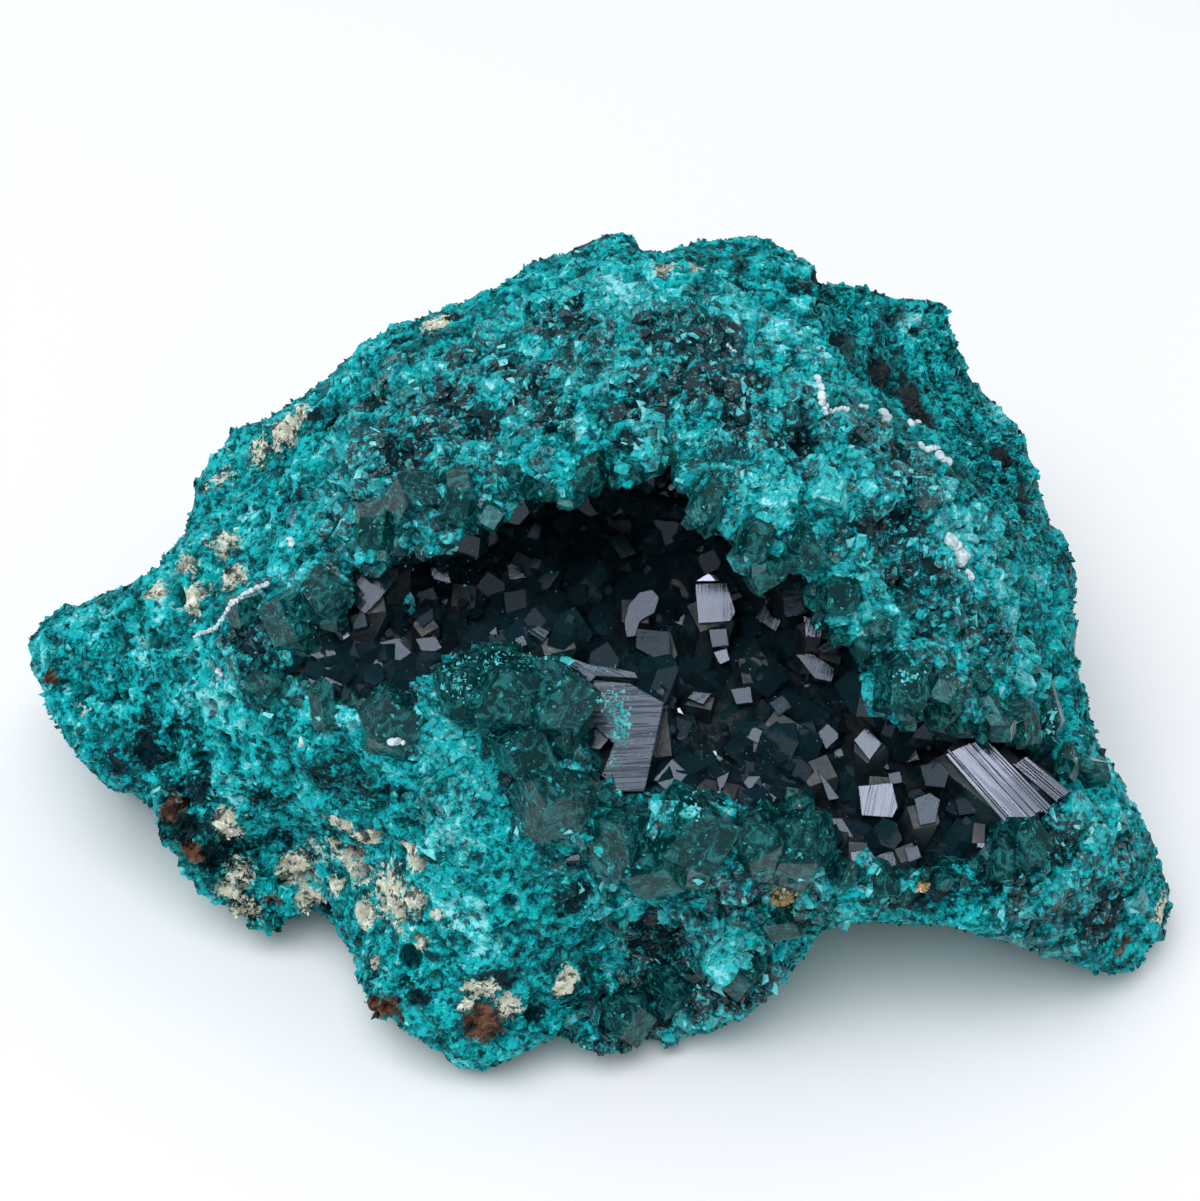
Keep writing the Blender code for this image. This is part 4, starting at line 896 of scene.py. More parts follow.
class Relief:
    """A smooth sheet through marked points: a thin plate held at each of them."""

    def __init__(self, marks):
        points = np.array(marks, float)
        self.at, count = points[:, :2], len(points)
        plate = np.zeros((count + 3, count + 3))
        plate[:count, :count] = self.kernel(self.at)
        plate[:count, count:] = np.column_stack([np.ones(count), self.at])
        plate[count:, :count] = plate[:count, count:].T
        self.pull = np.linalg.solve(plate, np.append(points[:, 2], [0, 0, 0]))

    def kernel(self, where):
        away = ((where[:, None, :] - self.at[None, :, :]) ** 2).sum(axis=2)
        return away * np.log(away + 1e-9)

    def at_place(self, across, up):
        where = np.array([[across, up]], float)
        flat = np.array([[1.0, across, up]])
        return float((np.hstack([self.kernel(where), flat]) @ self.pull)[0])


FLOOR_SHEET = Relief(FLOOR)


def middle_of(corners):
    return sum(a for a, _ in corners) / len(corners), sum(u for _, u in corners) / len(corners)


def fall(way, across, up):
    """How much further back a plane that looks that way is, that far across and up."""
    return (way.x * across + way.y * up) / way.z


def mirrored(way):
    """Where a face that looks that way sees the light that it sends to the viewer."""
    return view_way(*(way * (2 * way.z) - STRAIGHT_OUT))


def face_out(corners, way, lift):
    """How far out the middle of a face lies, to stand clear of the crust under it."""
    mid_across, mid_up = middle_of(corners)
    out = FLOOR_SHEET.at_place(mid_across, mid_up) + lift
    for across, up in corners:
        for share in (0.0, 0.5, 1.0):
            step = (share * (across - mid_across), share * (up - mid_up))
            crust = HOLLOW.out_at(mid_across + step[0], mid_up + step[1])
            out = max(out, crust + fall(way, *step) + OVER_CRUST)
    return out


def lit_way(corners, lift):
    """How a face looks for the light to reach it past the roof: skyward, or lower if need be."""
    for up in LOWER_WAYS:
        way = Vector((FACEWARD.x, up, FACEWARD.z)).normalized()
        start = from_view(*middle_of(corners), face_out(corners, way, lift) + OVER_CRUST)
        if WHOLE.tree.ray_cast(Vector(start), mirrored(way))[0] is None:
            return way
    return FACEWARD


def mirror_crystal(lift, deep, groove, corners, kept_free, lean=0.0, out=None, light_reach=0.0):
    """A crystal under one face that looks skyward, whose corners the front view gives.

    A lean turns the face that many degrees about its grooves. How far out its middle lies may be given.
    Small crystals keep away from what is added to kept_free: sheets through the crystal, and
    over that many millimetres of the way of the light that it mirrors.
    """
    base_way = FACEWARD if out is not None else lit_way(corners, lift)
    turn = math.radians(groove)
    along = Vector((math.cos(turn), math.sin(turn), 0))
    along = (along - base_way * along.dot(base_way)).normalized()
    way = Matrix.Rotation(math.radians(lean), 3, along) @ base_way
    sky = view_way(*way)
    if out is None:
        out = face_out(corners, way, lift)
    mid_across, mid_up = middle_of(corners)
    top = []
    for across, up in corners:
        top.append(Vector(from_view(across, up, out - fall(way, across - mid_across, up - mid_up))))
    middle = sum(top, Vector()) / len(top)
    bm = bmesh.new()
    upper = [bm.verts.new(spot) for spot in top]
    lower = [bm.verts.new(middle + (spot - middle) * FLARE - sky * deep) for spot in top]
    bm.faces.new(upper)
    bm.faces.new(lower[::-1])
    for k in range(len(top)):
        n = (k + 1) % len(top)
        bm.faces.new((upper[n], upper[k], lower[k], lower[n]))
    bmesh.ops.recalc_face_normals(bm, faces=bm.faces)
    chamfered(bm)
    own = bm.verts.layers.float_vector.new("own")
    groove_way = view_way(*along)
    side_way = groove_way.cross(sky)
    for vert in bm.verts:
        rel = vert.co - middle
        vert[own] = Vector((rel.dot(side_way), rel.dot(sky), rel.dot(groove_way)))
    shifts = [sky * level for level in (0.8, -0.3 * deep, -0.65 * deep, -deep)]
    shifts += [mirrored(way) * (step * LIGHT_STEP) for step in range(1, int(light_reach / LIGHT_STEP) + 1)]
    for shift in shifts:
        kept_free.faces.new([kept_free.verts.new(spot + shift) for spot in top])
    return bm


def lath_bundle(lift, deep, count, lean, step, near, far, kept_free, rng):
    """Grooved laths side by side, each at its own height and turned a little."""
    ends = [np.array(spot, float) for spot in (*near, *far)]
    run = ends[2] - ends[0]
    groove = math.degrees(math.atan2(run[1], run[0]))
    middle = sum(ends) / 4
    out = face_out([tuple(spot) for spot in ends], FACEWARD, lift)
    cuts = [0.0] + sorted(rng.uniform(0.06, 0.94) for _ in range(count - 1)) + [1.0]
    made = []
    for start, end in zip(cuts, cuts[1:]):
        reach = rng.uniform(0.9, 1.0)
        near_side = [ends[0] + (ends[1] - ends[0]) * share for share in (start, end)]
        far_side = [ends[2] + (ends[3] - ends[2]) * share for share in (start, end)]
        near_side = [a + (b - a) * (1 - reach) * 0.5 for a, b in zip(near_side, far_side)]
        far_side = [a + (b - a) * reach for a, b in zip(near_side, far_side)]
        corners = [tuple(spot) for spot in (near_side[0], near_side[1], far_side[1], far_side[0])]
        away = sum(np.array(spot) for spot in corners) / 4 - middle
        level = out - fall(FACEWARD, *away) + rng.uniform(-step, step)
        made.append(mirror_crystal(
            lift, deep, groove, corners, kept_free, lean=rng.uniform(-lean, lean), out=level,
        ))
    return made


def cloudy_crystals(rng):
    """Big crystals rooted where the front view meets the rock."""
    made = []
    for across, up, width, length, lean_across, lean_up in CLOUDY:
        place = WHOLE.met(across, up)
        if place is None:
            continue
        bm = hull(planes_corners(dioptase_planes(width, length, rng, root=0.62)))
        chamfered(bm)
        turn = view_way(lean_across, lean_up, 1.0).to_track_quat("Z", "Y").to_matrix()
        turn = turn @ Matrix.Rotation(rng.uniform(0, math.tau), 3, "Z")
        bmesh.ops.transform(bm, matrix=Matrix.Translation(place) @ turn.to_4x4(), verts=bm.verts)
        made.append(bm)
    return made


def joined(name, shapes):
    """Several built meshes as one object."""
    whole = bmesh.new()
    whole.verts.layers.float_vector.new("own")
    for bm in shapes:
        spare = bpy.data.meshes.new("spare")
        bm.to_mesh(spare)
        bm.free()
        whole.from_mesh(spare)
        bpy.data.meshes.remove(spare)
    return shell(name, whole)


# Growth. Distances are in millimetres.
OFF_FLOOR = 0.02
FEW_LARGE = 1.8
BEAD_STEP = 0.65
SPECKS_ABOVE = 0.5
LIT_WAY = (-0.1, -0.45, 0.89)
GROWTH_SIZES = (
    "Per square millimetre", "Spacing", "Smallest", "Largest", "Tilt", "Sink", "Stretch", "Clearance",
)


def chance(tree, seed, step):
    """A number from 0 to 1 for each shape."""
    inputs = {2: 0.0, 3: 1.0, "Seed": add(tree, seed, step)}
    return put(tree, "FunctionNodeRandomValue", inputs, data_type="FLOAT").outputs[1]


def three(tree, *values):
    """A vector of three values."""
    return put(tree, "ShaderNodeCombineXYZ", dict(enumerate(values))).outputs[0]


def scatter_tree(name, where_to_grow, even, clear_of):
    """Grows shapes on a surface: more of them where the field is high, none where it is 0.

    clear_of is an object that the shapes keep their clearance from, or None.
    """
    tree = bpy.data.node_groups.new(name, "GeometryNodeTree")
    open_sockets(tree, "INPUT", "Geometry", "Geometry")
    open_sockets(tree, "INPUT", "Collection", "Shapes")
    open_sockets(tree, "INPUT", "Float", *GROWTH_SIZES)
    open_sockets(tree, "INPUT", "Int", "Seed")
    open_sockets(tree, "INPUT", "Material", "Finish")
    open_sockets(tree, "OUTPUT", "Geometry", "Geometry")
    entry = put(tree, "NodeGroupInput").outputs
    seed = entry["Seed"]
    tilt = entry["Tilt"]
    field = where_to_grow(tree)
    density = times(tree, entry["Per square millimetre"], PER_MM * PER_MM)
    inputs = {"Mesh": entry["Geometry"], "Seed": seed}
    if even:
        inputs["Distance Min"] = times(tree, entry["Spacing"], MM)
        inputs["Density Max"] = density
        inputs["Density Factor"] = field
    else:
        inputs["Density"] = times(tree, density, field)
    method = "POISSON" if even else "RANDOM"
    points = put(tree, "GeometryNodeDistributePointsOnFaces", inputs, distribute_method=method).outputs
    spots = points["Points"]
    if clear_of:
        kept_free = put(tree, "GeometryNodeObjectInfo", {"Object": clear_of}).outputs["Geometry"]
        near = put(tree, "GeometryNodeProximity", {0: kept_free}, target_element="FACES").outputs["Distance"]
        too_near = reckon(tree, "LESS_THAN", near, times(tree, entry["Clearance"], MM))
        inputs = {"Geometry": spots, "Selection": too_near}
        spots = put(tree, "GeometryNodeDeleteGeometry", inputs, domain="POINT").outputs[0]
    lean = times(tree, tilt, -1.0)
    inputs = {0: three(tree, lean, lean, -math.pi), 1: three(tree, tilt, tilt, math.pi),
              "Seed": add(tree, seed, 1.0)}
    swing = put(tree, "FunctionNodeRandomValue", inputs, data_type="FLOAT_VECTOR").outputs[0]
    inputs = {0: points["Rotation"], 1: put(tree, "FunctionNodeEulerToRotation", {0: swing}).outputs[0]}
    turned = put(tree, "FunctionNodeRotateRotation", inputs, rotation_space="LOCAL").outputs[0]
    share = reckon(tree, "POWER", chance(tree, seed, 2.0), FEW_LARGE)
    spread = minus(tree, entry["Largest"], entry["Smallest"])
    size = reckon(tree, "MULTIPLY_ADD", share, spread, entry["Smallest"])
    push = scaled_vector(tree, points["Normal"], times(tree, size, entry["Sink"], -MM))
    sunk = put(tree, "GeometryNodeSetPosition", {"Geometry": spots, "Offset": push}).outputs[0]
    shapes = put(tree, "GeometryNodeCollectionInfo", {
        "Collection": entry["Shapes"], "Separate Children": True, "Reset Children": True,
    }).outputs[0]
    grown = put(tree, "GeometryNodeInstanceOnPoints", {
        "Points": sunk, "Instance": shapes, "Pick Instance": True, "Rotation": turned,
        "Scale": three(tree, size, size, times(tree, size, entry["Stretch"])),
    }).outputs[0]
    kept = keep_number(tree, grown, "shade", chance(tree, seed, 3.0), "INSTANCE")
    real = put(tree, "GeometryNodeRealizeInstances", {"Geometry": kept}).outputs[0]
    done = put(tree, "GeometryNodeSetMaterial", {"Geometry": real, "Material": entry["Finish"]}).outputs[0]
    put(tree, "NodeGroupOutput", {0: done})
    return tree


def grow(name, host, shapes, where_to_grow, finish, slot, even=False, clear_of=None, **sizes):
    """Scatters the shapes over the host's surface, as one plain mesh."""
    made = link(name, host.data.copy())
    made.data.materials.clear()
    tree = scatter_tree(name, where_to_grow, even, clear_of)
    step = made.modifiers.new("growth", "NODES")
    step.node_group = tree
    known = {item.name: item.identifier for item in tree.interface.items_tree if item.in_out == "INPUT"}
    step[known["Shapes"]] = shapes
    step[known["Finish"]] = finish
    for label, value in sizes.items():
        step[known[label.replace("_", " ")]] = value
    settle(made, name)
    keep_above(made.data, OFF_FLOOR)
    return finish_piece(made, slot)


def everywhere(tree):
    return 1.0


def open_rock(tree):
    """Everywhere on the rock but its underside and the wall of the hollow."""
    return times(tree, named(tree, "free"), minus(tree, 1.0, named(tree, "inside"), clamp=True))


def on_glassy(tree):
    return times(tree, ramp(tree, named(tree, "glassy"), 0.12, 0.5), open_rock(tree))


def on_druse(tree):
    """Over the druse, but less of it where it is glassy or pitted."""
    less = rest_of(tree, named(tree, "glassy"), 0.45)
    return times(tree, less, rest_of(tree, named(tree, "pit"), 0.9), open_rock(tree))


def on_crumbly(tree):
    return times(tree, named(tree, "crumbly"), ramp(tree, named(tree, "free"), 0.05, 0.4))


def on_rim(tree):
    return times(tree, ramp(tree, named(tree, "mouth"), 0.15, 0.6), named(tree, "free"))


def on_lit_faces(tree):
    """Thinly over the faces that look up and forward."""
    way = put(tree, "GeometryNodeInputNormal").outputs[0]
    lit = put(tree, "ShaderNodeVectorMath", {0: way, 1: LIT_WAY}, operation="DOT_PRODUCT").outputs["Value"]
    return ramp(tree, lit, 0.2, 0.8)


def seen(across, up):
    """Where the front view meets the finished pieces, or None."""
    graph = bpy.context.evaluated_depsgraph_get()
    hit, place, *_ = bpy.context.scene.ray_cast(graph, Vector(EYE) * MM, sight(across, up))
    return place * PER_MM if hit else None


def bead_rows(name, rows, rng):
    """Small rounded beads in touching rows."""
    bm = bmesh.new()
    for radius, line in rows:
        for start, end in zip(line, line[1:]):
            steps = max(1, round(math.dist(start, end) / (radius * BEAD_STEP)))
            for k in range(steps + 1):
                share = k / steps
                spot = [a + (b - a) * share + rng.gauss(0, 0.22 * radius) for a, b in zip(start, end)]
                place = seen(*spot)
                if place is None:
                    continue
                size = radius * rng.uniform(0.7, 1.15)
                turn = Matrix.Rotation(rng.uniform(0, math.tau), 4, any_way(rng))
                wide = size * rng.uniform(0.6, 1.2)
                flat = Matrix.Diagonal((size, wide, size * rng.uniform(0.5, 0.8), 1.0))
                lifted = place + Vector(TOWARD) * size * 0.15
                where = Matrix.Translation(lifted) @ turn @ flat
                bmesh.ops.create_icosphere(bm, subdivisions=2, radius=1.0, matrix=where)
    return shell(name, bm)


def sprinkled(name, rows, rng):
    """Rough specks strewn over the finished pieces."""
    bm = bmesh.new()
    for across, up, reach_across, reach_up, count, smallest, largest in rows:
        for _ in range(count):
            place = seen(across + rng.gauss(0, reach_across / 2), up + rng.gauss(0, reach_up / 2))
            if place is None or place.z < SPECKS_ABOVE:
                continue
            size = smallest + (largest - smallest) * rng.random() ** 2
            add_hull(bm, [any_way(rng) * rng.uniform(0.34, 0.6) * size + place for _ in range(6)])
    bmesh.ops.recalc_face_normals(bm, faces=bm.faces)
    return shell(name, bm)


# Materials. Lengths are in millimetres.
BRIGHT = colour(0.004, 0.46, 0.48)
TEAL = colour(0.0, 0.15, 0.16)
# DEEP is the druse's darkest tone, and also the painted shade of its pits and pores.
DEEP = colour(0.0, 0.016, 0.022)
SMOKE = colour(0.012, 0.074, 0.084)
SOOT = colour(0.006, 0.026, 0.032)
# PALE is pale turquoise that also stands in for tiny glints: a painted highlight.
PALE = colour(0.25, 0.72, 0.74)
BONE = colour(0.56, 0.56, 0.42)
CHALK = colour(0.80, 0.82, 0.70)
RUST = colour(0.16, 0.075, 0.045)
BARK = colour(0.035, 0.018, 0.014)
AMBER = colour(0.42, 0.29, 0.12)
MOSS = colour(0.022, 0.026, 0.024)
CRACK_WIDTH = 0.045
GROOVE_STRETCH = 0.03

# What the druse's colour is made of: where its lightness starts, how far each noise swings it, how
# much a patch changes it, and how far the ragged edge of a patch follows each noise.
MIDDLE_LIGHT = 0.55
SWINGS = {"middle": 1.25, "grit": 0.75, "broad": 0.9, "own": 0.26, "block": 0.34}
GLASSY_LOSS = 0.13
VIVID_GAIN = 0.26
DARK_LOSS = 0.42
RAGGED = {"flaw": 1.6, "grit": 0.9}
STORED = ("Pit", "Cream", "Brown", "Umber", "Gold", "Glassy", "Dark", "Vivid")


def tint_group():
    """Colour, roughness and height of turquoise druse, from where it is and what it belongs to, with painted
    shade in its pits and pores.
    """
    tree = bpy.data.node_groups.new("druse tint", "ShaderNodeTree")
    open_sockets(tree, "INPUT", "Vector", "Where")
    open_sockets(tree, "INPUT", "Float", "Shade", "Shade weight", "Flecks", *STORED)
    open_sockets(tree, "OUTPUT", "Color", "Color")
    open_sockets(tree, "OUTPUT", "Float", "Roughness", "Height")
    entry = put(tree, "NodeGroupInput").outputs
    where = entry["Where"]
    glassy = entry["Glassy"]
    fine_far, own = cells(tree, where, 0.42)
    fields = {
        "broad": noise(tree, where, 6.0, 3.0, 0.6),
        "middle": noise(tree, where, 2.2, 4.0, 0.74, 0.5),
        "own": own,
        "block": cells(tree, where, 1.1)[1],
        "flaw": noise(tree, where, 1.7, 5.0, 0.76, 0.4),
        "grit": noise(tree, where, 0.6, 4.0, 0.75, 0.3),
    }

    def swing(name, gains):
        return times(tree, minus(tree, fields[name], 0.5), gains[name])

    light = add(tree, MIDDLE_LIGHT, *[swing(name, SWINGS) for name in ("middle", "grit", "broad", "own")])
    light = add(
        tree, light, times(tree, swing("block", SWINGS), glassy),
        times(tree, minus(tree, entry["Shade"], 0.5), entry["Shade weight"]),
    )
    light = minus(tree, light, times(tree, glassy, GLASSY_LOSS))
    ragged = add(tree, swing("flaw", RAGGED), swing("grit", RAGGED))
    gain = ramp(tree, add(tree, entry["Vivid"], ragged), 0.1, 0.9)
    light = add(tree, light, times(tree, gain, VIVID_GAIN))
    # Dark takes lightness away: charcoal patches, and the painted shade that the dark field also carries.
    loss = ramp(tree, minus(tree, entry["Dark"], ragged), 0.3, 0.7)
    light = minus(tree, light, times(tree, loss, DARK_LOSS))
    smoky = times(tree, glassy, 0.9, clamp=True)
    half = blend(tree, smoky, TEAL, SMOKE)
    deep = blend(tree, smoky, DEEP, SOOT)
    tone = blend(tree, ramp(tree, light, 0.20, 0.40), deep, half)
    tone = blend(tree, ramp(tree, light, 0.44, 0.64), tone, BRIGHT)
    # The lightest druse goes pale: partly its own pale turquoise, partly painted highlight.
    tone = blend(tree, ramp(tree, light, 0.76, 0.94), tone, PALE)
    # Flecks: bright turquoise dust, and pale specks that stand in for glints, a painted highlight.
    dust = noise(tree, where, 0.7, 3.0, 0.7, 0.6)
    for low, high, shade in ((0.55, 0.62, BRIGHT), (0.68, 0.72, PALE)):
        dusted = times(tree, ramp(tree, dust, low, high), entry["Flecks"], clamp=True)
        tone = blend(tree, dusted, tone, shade)

    def pores(size_mm, detail, rough, distort, edge, fewer):
        """Painted shade of open pores of that size, fewer of them where the druse is glassy; the mesh has no
        such pores.
        """
        opened = ramp(tree, noise(tree, where, size_mm, detail, rough, distort), edge, 0.36)
        return times(tree, opened, rest_of(tree, glassy, fewer), clamp=True)

    pore_shade = pores(1.5, 3.0, 0.62, 0.3, 0.44, 0.8)
    pore_shade = reckon(tree, "MAXIMUM", pore_shade, pores(0.75, 2.0, 0.6, 0.4, 0.42, 0.6))
    # Painted shade in the mesh's pits, by their stored depth, and in the painted pores.
    sunk = reckon(tree, "MAXIMUM", times(tree, entry["Pit"], 0.9), times(tree, pore_shade, 0.85))

    def patch(tone, name, shade, width=0.05, edge=1.0):
        """The tone with that patch's shade over it, in a lacy edge."""
        reach = add(
            tree, times(tree, entry[name], 0.40), times(tree, fields["flaw"], 0.5),
            times(tree, fields["grit"], 1.15),
        )
        share = times(tree, ramp(tree, reach, edge, edge + width), ramp(tree, entry[name], 0.04, 0.2))
        return blend(tree, share, tone, shade)

    tone = patch(tone, "Umber", MOSS, width=0.35, edge=0.92)
    tone = patch(tone, "Cream", blend(tree, ramp(tree, dust, 0.46, 0.60), BONE, CHALK), width=0.08)
    # Painted shade: pits and pores take the darkest tone.
    tone = blend(tree, reckon(tree, "MINIMUM", sunk, 1.0), tone, DEEP)
    tone = patch(tone, "Brown", blend(tree, ramp(tree, fields["middle"], 0.42, 0.58), BARK, RUST))
    tone = patch(tone, "Gold", blend(tree, ramp(tree, dust, 0.40, 0.55), BARK, AMBER))
    put(tree, "NodeGroupOutput", {
        "Color": tone, "Roughness": ramp(tree, own, 0.0, 1.0, 0.28, 0.75),
        "Height": add(tree, times(tree, fine_far, -0.8), times(tree, fields["middle"], 0.7)),
    })
    return tree


TINT = tint_group()


def new_material(name):
    """A material, its tree, its shader and the object's own places."""
    made = bpy.data.materials.new(name)
    made.use_nodes = True
    tree = made.node_tree
    return made, tree, tree.nodes["Principled BSDF"], put(tree, "ShaderNodeTexCoord").outputs["Object"]


def bumped(tree, height, strength, depth_mm):
    """The surface's way with that height on it."""
    inputs = {"Height": height, "Strength": strength, "Distance": depth_mm * MM}
    return put(tree, "ShaderNodeBump", inputs).outputs[0]


def stored_number(tree, name):
    return put(tree, "ShaderNodeAttribute", attribute_name=name).outputs["Fac"]


def druse_material(name, bump_mm=0.25, shade_weight=0.0, flecks=0.0, gloss=None):
    """Turquoise druse. A shade weight is for grains, which carry a shade of their own."""
    made, tree, shader, where = new_material(name)
    stored = {socket: stored_number(tree, socket.lower()) for socket in ("Shade", *STORED)}
    inputs = {"Where": where, "Shade weight": shade_weight, "Flecks": flecks, **stored}
    tint = put(tree, "ShaderNodeGroup", inputs, node_tree=TINT).outputs
    look = {"Base Color": tint["Color"], "Normal": bumped(tree, tint["Height"], 0.9, bump_mm)}
    if gloss:
        look["Roughness"] = ramp(tree, noise(tree, where, 0.7, 2.0), 0.35, 0.65, *gloss)
        look["Specular IOR Level"] = 0.30
        look["IOR"] = 1.6
    else:
        look["Roughness"] = tint["Roughness"]
        look["Specular IOR Level"] = 0.10
    feed(tree, shader, look)
    return made


def grooves(tree, width_mm):
    """Fine grooves that run along each crystal."""
    own = put(tree, "ShaderNodeAttribute", attribute_name="own").outputs["Vector"]
    drawn = put(tree, "ShaderNodeMapping", {"Vector": own, "Scale": (MM, MM, GROOVE_STRETCH * MM)})
    return noise(tree, drawn.outputs[0], width_mm, 3.0, 0.6)


def glass_material(name, tone, clear, body, density, rough, groove_mm, groove_depth_mm, ior, gleam,
                   veil=None, dull_grooves=0.0):
    """Clear crystal whose depth takes the light's red away. A veil is the colour of its flaws."""
    made, tree, shader, where = new_material(name)
    wear = noise(tree, where, 0.9, 4.0, 0.6)
    lines = grooves(tree, groove_mm)
    worn = ramp(tree, wear, 0.35, 0.75, rough * 0.4, rough)
    if dull_grooves:
        worn = reckon(tree, "MAXIMUM", worn, ramp(tree, lines, 0.54, 0.42, 0.0, dull_grooves))
    marks = add(tree, lines, times(tree, wear, 0.15))
    feed(tree, shader, {
        "Base Color": tone, "Transmission Weight": clear, "IOR": ior, "Specular Tint": gleam,
        "Roughness": worn, "Normal": bumped(tree, marks, 1.0, groove_depth_mm),
    })
    if veil:
        cloud = noise(tree, where, 1.3, 5.0, 0.78, 1.0)
        crack = times(tree, cracks(tree, where, 2.3), ramp(tree, cloud, 0.42, 0.52))
        milk = reckon(tree, "MAXIMUM", ramp(tree, cloud, 0.46, 0.64), times(tree, crack, 0.9))
        feed(tree, shader, {"Base Color": blend(tree, milk, tone, veil)})
    depth = put(tree, "ShaderNodeVolumeAbsorption", {"Color": body, "Density": density})
    feed(tree, tree.nodes["Material Output"], {"Volume": depth.outputs[0]})
    return made


def clear_glass(name, ior, groove_depth_mm, rough=0.10, groove_mm=0.3, dull_grooves=0.0):
    """The dark clear crystal of the hollow."""
    return glass_material(
        name, colour(0.05, 0.16, 0.21), 0.86, colour(0.01, 0.42, 0.42), 1100.0, rough, groove_mm,
        groove_depth_mm, ior, colour(0.74, 0.79, 0.96), dull_grooves=dull_grooves,
    )


def dull_material(name):
    """The dull dark crust between the crystals, with a breath of green."""
    made, tree, shader, where = new_material(name)
    patchy = noise(tree, where, 2.5, 5.0, 0.65)
    tones = (colour(0.003, 0.006, 0.010), colour(0.006, 0.028, 0.033))
    feed(tree, shader, {
        "Base Color": blend(tree, ramp(tree, patchy, 0.4, 0.7), *tones),
        "Roughness": ramp(tree, patchy, 0.3, 0.7, 0.35, 0.6),
        "Normal": bumped(tree, noise(tree, where, 0.9, 3.0, 0.6), 0.5, 0.2),
    })
    return made


def mottled(name, first, second, size_mm, rough):
    """A small thing's finish: two tones in soft patches, with a fine grain."""
    made, tree, shader, where = new_material(name)
    patchy = noise(tree, where, size_mm, 4.0, 0.65)
    feed(tree, shader, {
        "Base Color": blend(tree, ramp(tree, patchy, 0.38, 0.66), first, second),
        "Roughness": ramp(tree, patchy, 0.3, 0.7, rough, rough + 0.3),
        "Normal": bumped(tree, patchy, 0.7, 0.1),
    })
    return made


# Light, floor and camera, in metres and watts.
FLOOR_TONE = colour(0.90, 0.90, 0.90)
FLOOR_ROUGHNESS = 0.9
FLOOR_REACH_MM = 2000.0
LAMP_SIZE = (0.60, 0.50)
LAMP_AWAY = 0.75
LAMP_POWER = 4.4
LAMP_COLOUR = (0.94, 0.96, 1.0)
ROOM_COLOUR = colour(0.93, 0.95, 1.0)
ROOM_STRENGTH = 0.66
SENSOR_MM = 36.0
NEAREST_SEEN = 0.01


def add_to_scene(name, data, place, way):
    """Links a lamp or a camera that looks against that way."""
    made = bpy.data.objects.new(name, data)
    made.location = place
    made.rotation_euler = way.to_track_quat("Z", "Y").to_euler()
    bpy.context.scene.collection.objects.link(made)
    return made


def floor_and_light():
    bm = bmesh.new()
    bmesh.ops.create_grid(bm, x_segments=1, y_segments=1, size=FLOOR_REACH_MM)
    floor = shell("floor", bm)
    finish, tree, shader, _ = new_material("pale floor")
    feed(tree, shader, {"Base Color": FLOOR_TONE, "Roughness": FLOOR_ROUGHNESS})
    floor.data.materials.append(finish)
    sky = view_way(*SKYWARD)
    toward = Vector(TOWARD)
    way = (sky * (2 * sky.dot(toward)) - toward).normalized()
    lamp = bpy.data.lights.new("soft overhead light", "AREA")
    lamp.shape = "RECTANGLE"
    lamp.size, lamp.size_y = LAMP_SIZE
    lamp.energy = LAMP_POWER
    lamp.color = LAMP_COLOUR
    add_to_scene("soft overhead light", lamp, Vector(AIM) * MM + way * LAMP_AWAY, way)
    world = bpy.data.worlds.new("even room")
    world.use_nodes = True
    tree = world.node_tree
    feed(tree, tree.nodes["Background"], {"Color": ROOM_COLOUR, "Strength": ROOM_STRENGTH})
    bpy.context.scene.world = world
    bpy.context.scene.view_settings.view_transform = "Standard"


def front_camera():
    lens = bpy.data.cameras.new("front view")
    lens.sensor_width = SENSOR_MM
    lens.lens = SENSOR_MM * VIEW_DISTANCE / VIEW_WIDTH
    lens.clip_start = NEAREST_SEEN
    bpy.context.scene.camera = add_to_scene("front view", lens, Vector(EYE) * MM, Vector(TOWARD))


floor_and_light()
front_camera()

druse = druse_material("turquoise druse")
loose_druse = druse_material("turquoise grains", 0.15, shade_weight=0.4)
broken_druse = druse_material("broken druse", 0.14, shade_weight=0.16, flecks=0.9, gloss=(0.15, 0.5))
cloudy_glass = glass_material(
    "cloudy dioptase", colour(0.001, 0.048, 0.050), 0.60, colour(0.02, 0.60, 0.56), 480.0, 0.24, 0.8, 0.12,
    1.40, colour(0.42, 0.80, 0.84), veil=colour(0.04, 0.36, 0.36),
)
dark_glass = clear_glass("dark dioptase", 1.50, 0.02, 0.08)
CLEAR = {
    "plain": clear_glass("mirror dioptase", 1.76, 0.02, 0.08),
    "bright": clear_glass("bright dioptase", 2.0, 0.05, groove_mm=0.5, dull_grooves=0.2),
    "lath": clear_glass("grooved dioptase", 2.0, 0.06, groove_mm=0.5, dull_grooves=0.34),
    "striated": clear_glass("striated dioptase", 1.52, 0.08, groove_mm=0.45, dull_grooves=0.45),
    "dim": clear_glass("dim dioptase", 1.48, 0.02),
    "dark": clear_glass("smoky dioptase", 1.27, 0.04),
    "glint": clear_glass("glinting dioptase", 2.5, 0.0, 0.05),
}
dull_dioptase = dull_material("dull dioptase")
bead_white = mottled("bead white", colour(0.76, 0.80, 0.83), colour(0.34, 0.50, 0.54), 0.45, 0.5)
bright_dust = mottled("turquoise dust", BRIGHT, PALE, 0.6, 0.35)
dim_dust = mottled("dim turquoise dust", colour(0.01, 0.16, 0.17), BRIGHT, 1.2, 0.35)
DUST_FINISH = {
    "turquoise": bright_dust,
    "gold": mottled("gold dust", AMBER, colour(0.75, 0.62, 0.36), 0.5, 0.4),
    "white": mottled("white dust", colour(0.62, 0.60, 0.58), colour(0.25, 0.42, 0.44), 0.8, 0.4),
}

skin = rock_skin()
skin.data.materials.clear()
finish_piece(skin, "matrix", druse)
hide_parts("matrix")

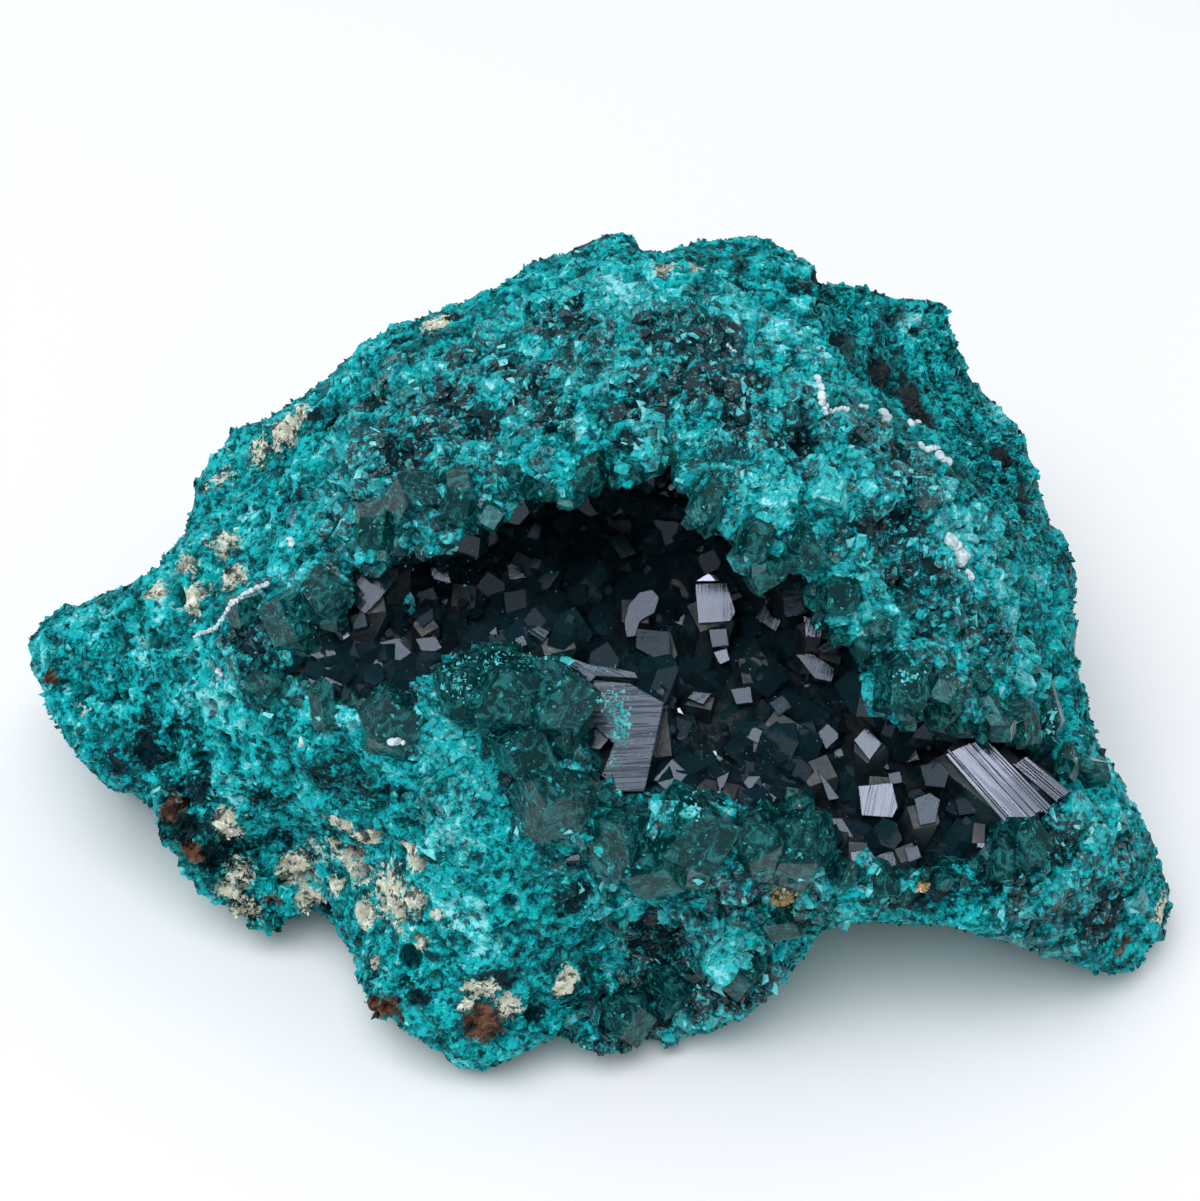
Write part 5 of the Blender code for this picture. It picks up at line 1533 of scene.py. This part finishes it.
# What grows on it.
rng = random.Random(7)
whole_set = shape_set("whole_crystal", 8, whole_crystal, rng)
broken_set = shape_set("broken_crystal", 10, broken_crystal, rng)
grain_set = shape_set("grain", 8, grain, rng)
flake_set = shape_set("flake", 6, flake, rng)
cloudy = finish_piece(joined("cloudy_crystals", cloudy_crystals(rng)), "dioptase", cloudy_glass)
glassy_shards = grow(
    "glassy_shards", skin, broken_set, on_glassy, broken_druse, "matrix", even=True, clear_of=cloudy,
    Per_square_millimetre=1.2, Spacing=1.1, Smallest=1.0, Largest=3.4, Tilt=0.9, Sink=0.34, Stretch=1.0,
    Clearance=0.25, Seed=3,
)
grow(
    "small_shards", skin, broken_set, on_glassy, broken_druse, "matrix", clear_of=cloudy,
    Per_square_millimetre=1.1, Smallest=0.4, Largest=1.6, Tilt=1.2, Sink=0.0, Stretch=1.1,
    Clearance=0.1, Seed=13,
)
grow(
    "turquoise_grains", skin, grain_set, on_druse, loose_druse, "matrix", clear_of=cloudy,
    Per_square_millimetre=1.1, Smallest=0.35, Largest=1.3, Tilt=1.0, Sink=0.05, Stretch=1.0,
    Clearance=0.1, Seed=23,
)
grow(
    "crumbs", skin, grain_set, on_crumbly, loose_druse, "matrix",
    Per_square_millimetre=1.6, Smallest=0.4, Largest=1.7, Tilt=1.2, Sink=-0.12, Stretch=1.0,
    Clearance=0.0, Seed=73,
)
grow(
    "rim_crystals", skin, whole_set, on_rim, cloudy_glass, "dioptase", even=True, clear_of=cloudy,
    Per_square_millimetre=0.8, Spacing=1.2, Smallest=1.1, Largest=2.8, Tilt=0.8, Sink=0.2, Stretch=1.0,
    Clearance=0.3, Seed=33,
)
grow(
    "turquoise_flakes", glassy_shards, flake_set, on_lit_faces, bright_dust, "matrix",
    Per_square_millimetre=0.5, Smallest=0.2, Largest=1.3, Tilt=0.5, Sink=-0.05, Stretch=1.0,
    Clearance=0.0, Seed=53,
)
grow(
    "cloudy_flakes", cloudy, flake_set, on_lit_faces, dim_dust, "dioptase",
    Per_square_millimetre=1.3, Smallest=0.06, Largest=0.50, Tilt=0.3, Sink=-0.02, Stretch=1.0,
    Clearance=0.0, Seed=63,
)

# The hollow's crystals. The small ones keep off the faces that mirror the light.
kept_free = bmesh.new()
by_glass = {}
for kind, *row in FACES:
    reach = GLINT_REACH if kind == "glint" else 0.0
    by_glass.setdefault(kind, []).append(mirror_crystal(*row, kept_free, light_reach=reach))
for row in LATHS:
    by_glass.setdefault("lath", []).extend(lath_bundle(*row, kept_free, rng))
for kind, shapes in by_glass.items():
    finish_piece(joined(f"{kind}_crystals", shapes), "dioptase", CLEAR[kind])
bright_faces = shell("bright_faces", kept_free)
crust = merged_copy("vug_crystals", "crust")
grow(
    "small_crystals", crust, whole_set, everywhere, dark_glass, "dioptase", even=True, clear_of=bright_faces,
    Per_square_millimetre=1.5, Spacing=0.9, Smallest=0.9, Largest=3.2, Tilt=0.8, Sink=0.22, Stretch=1.05,
    Clearance=1.5, Seed=44,
)
bpy.data.objects.remove(crust)
bpy.data.objects.remove(bright_faces)
for group in (whole_set, broken_set, grain_set, flake_set):
    clear_set(group)
lining = frame["nodes"]["vug_crystals"]
lining.data.materials.clear()
lining.data.materials.append(dull_dioptase)

# Small things that lie on what the front view shows.
bpy.context.view_layer.update()
finish_piece(bead_rows("white_beads", BEAD_ROWS, rng), "matrix", bead_white)
for name, slot, finish, rows in DUST:
    finish_piece(sprinkled(name, rows, rng), slot, DUST_FINISH[finish])
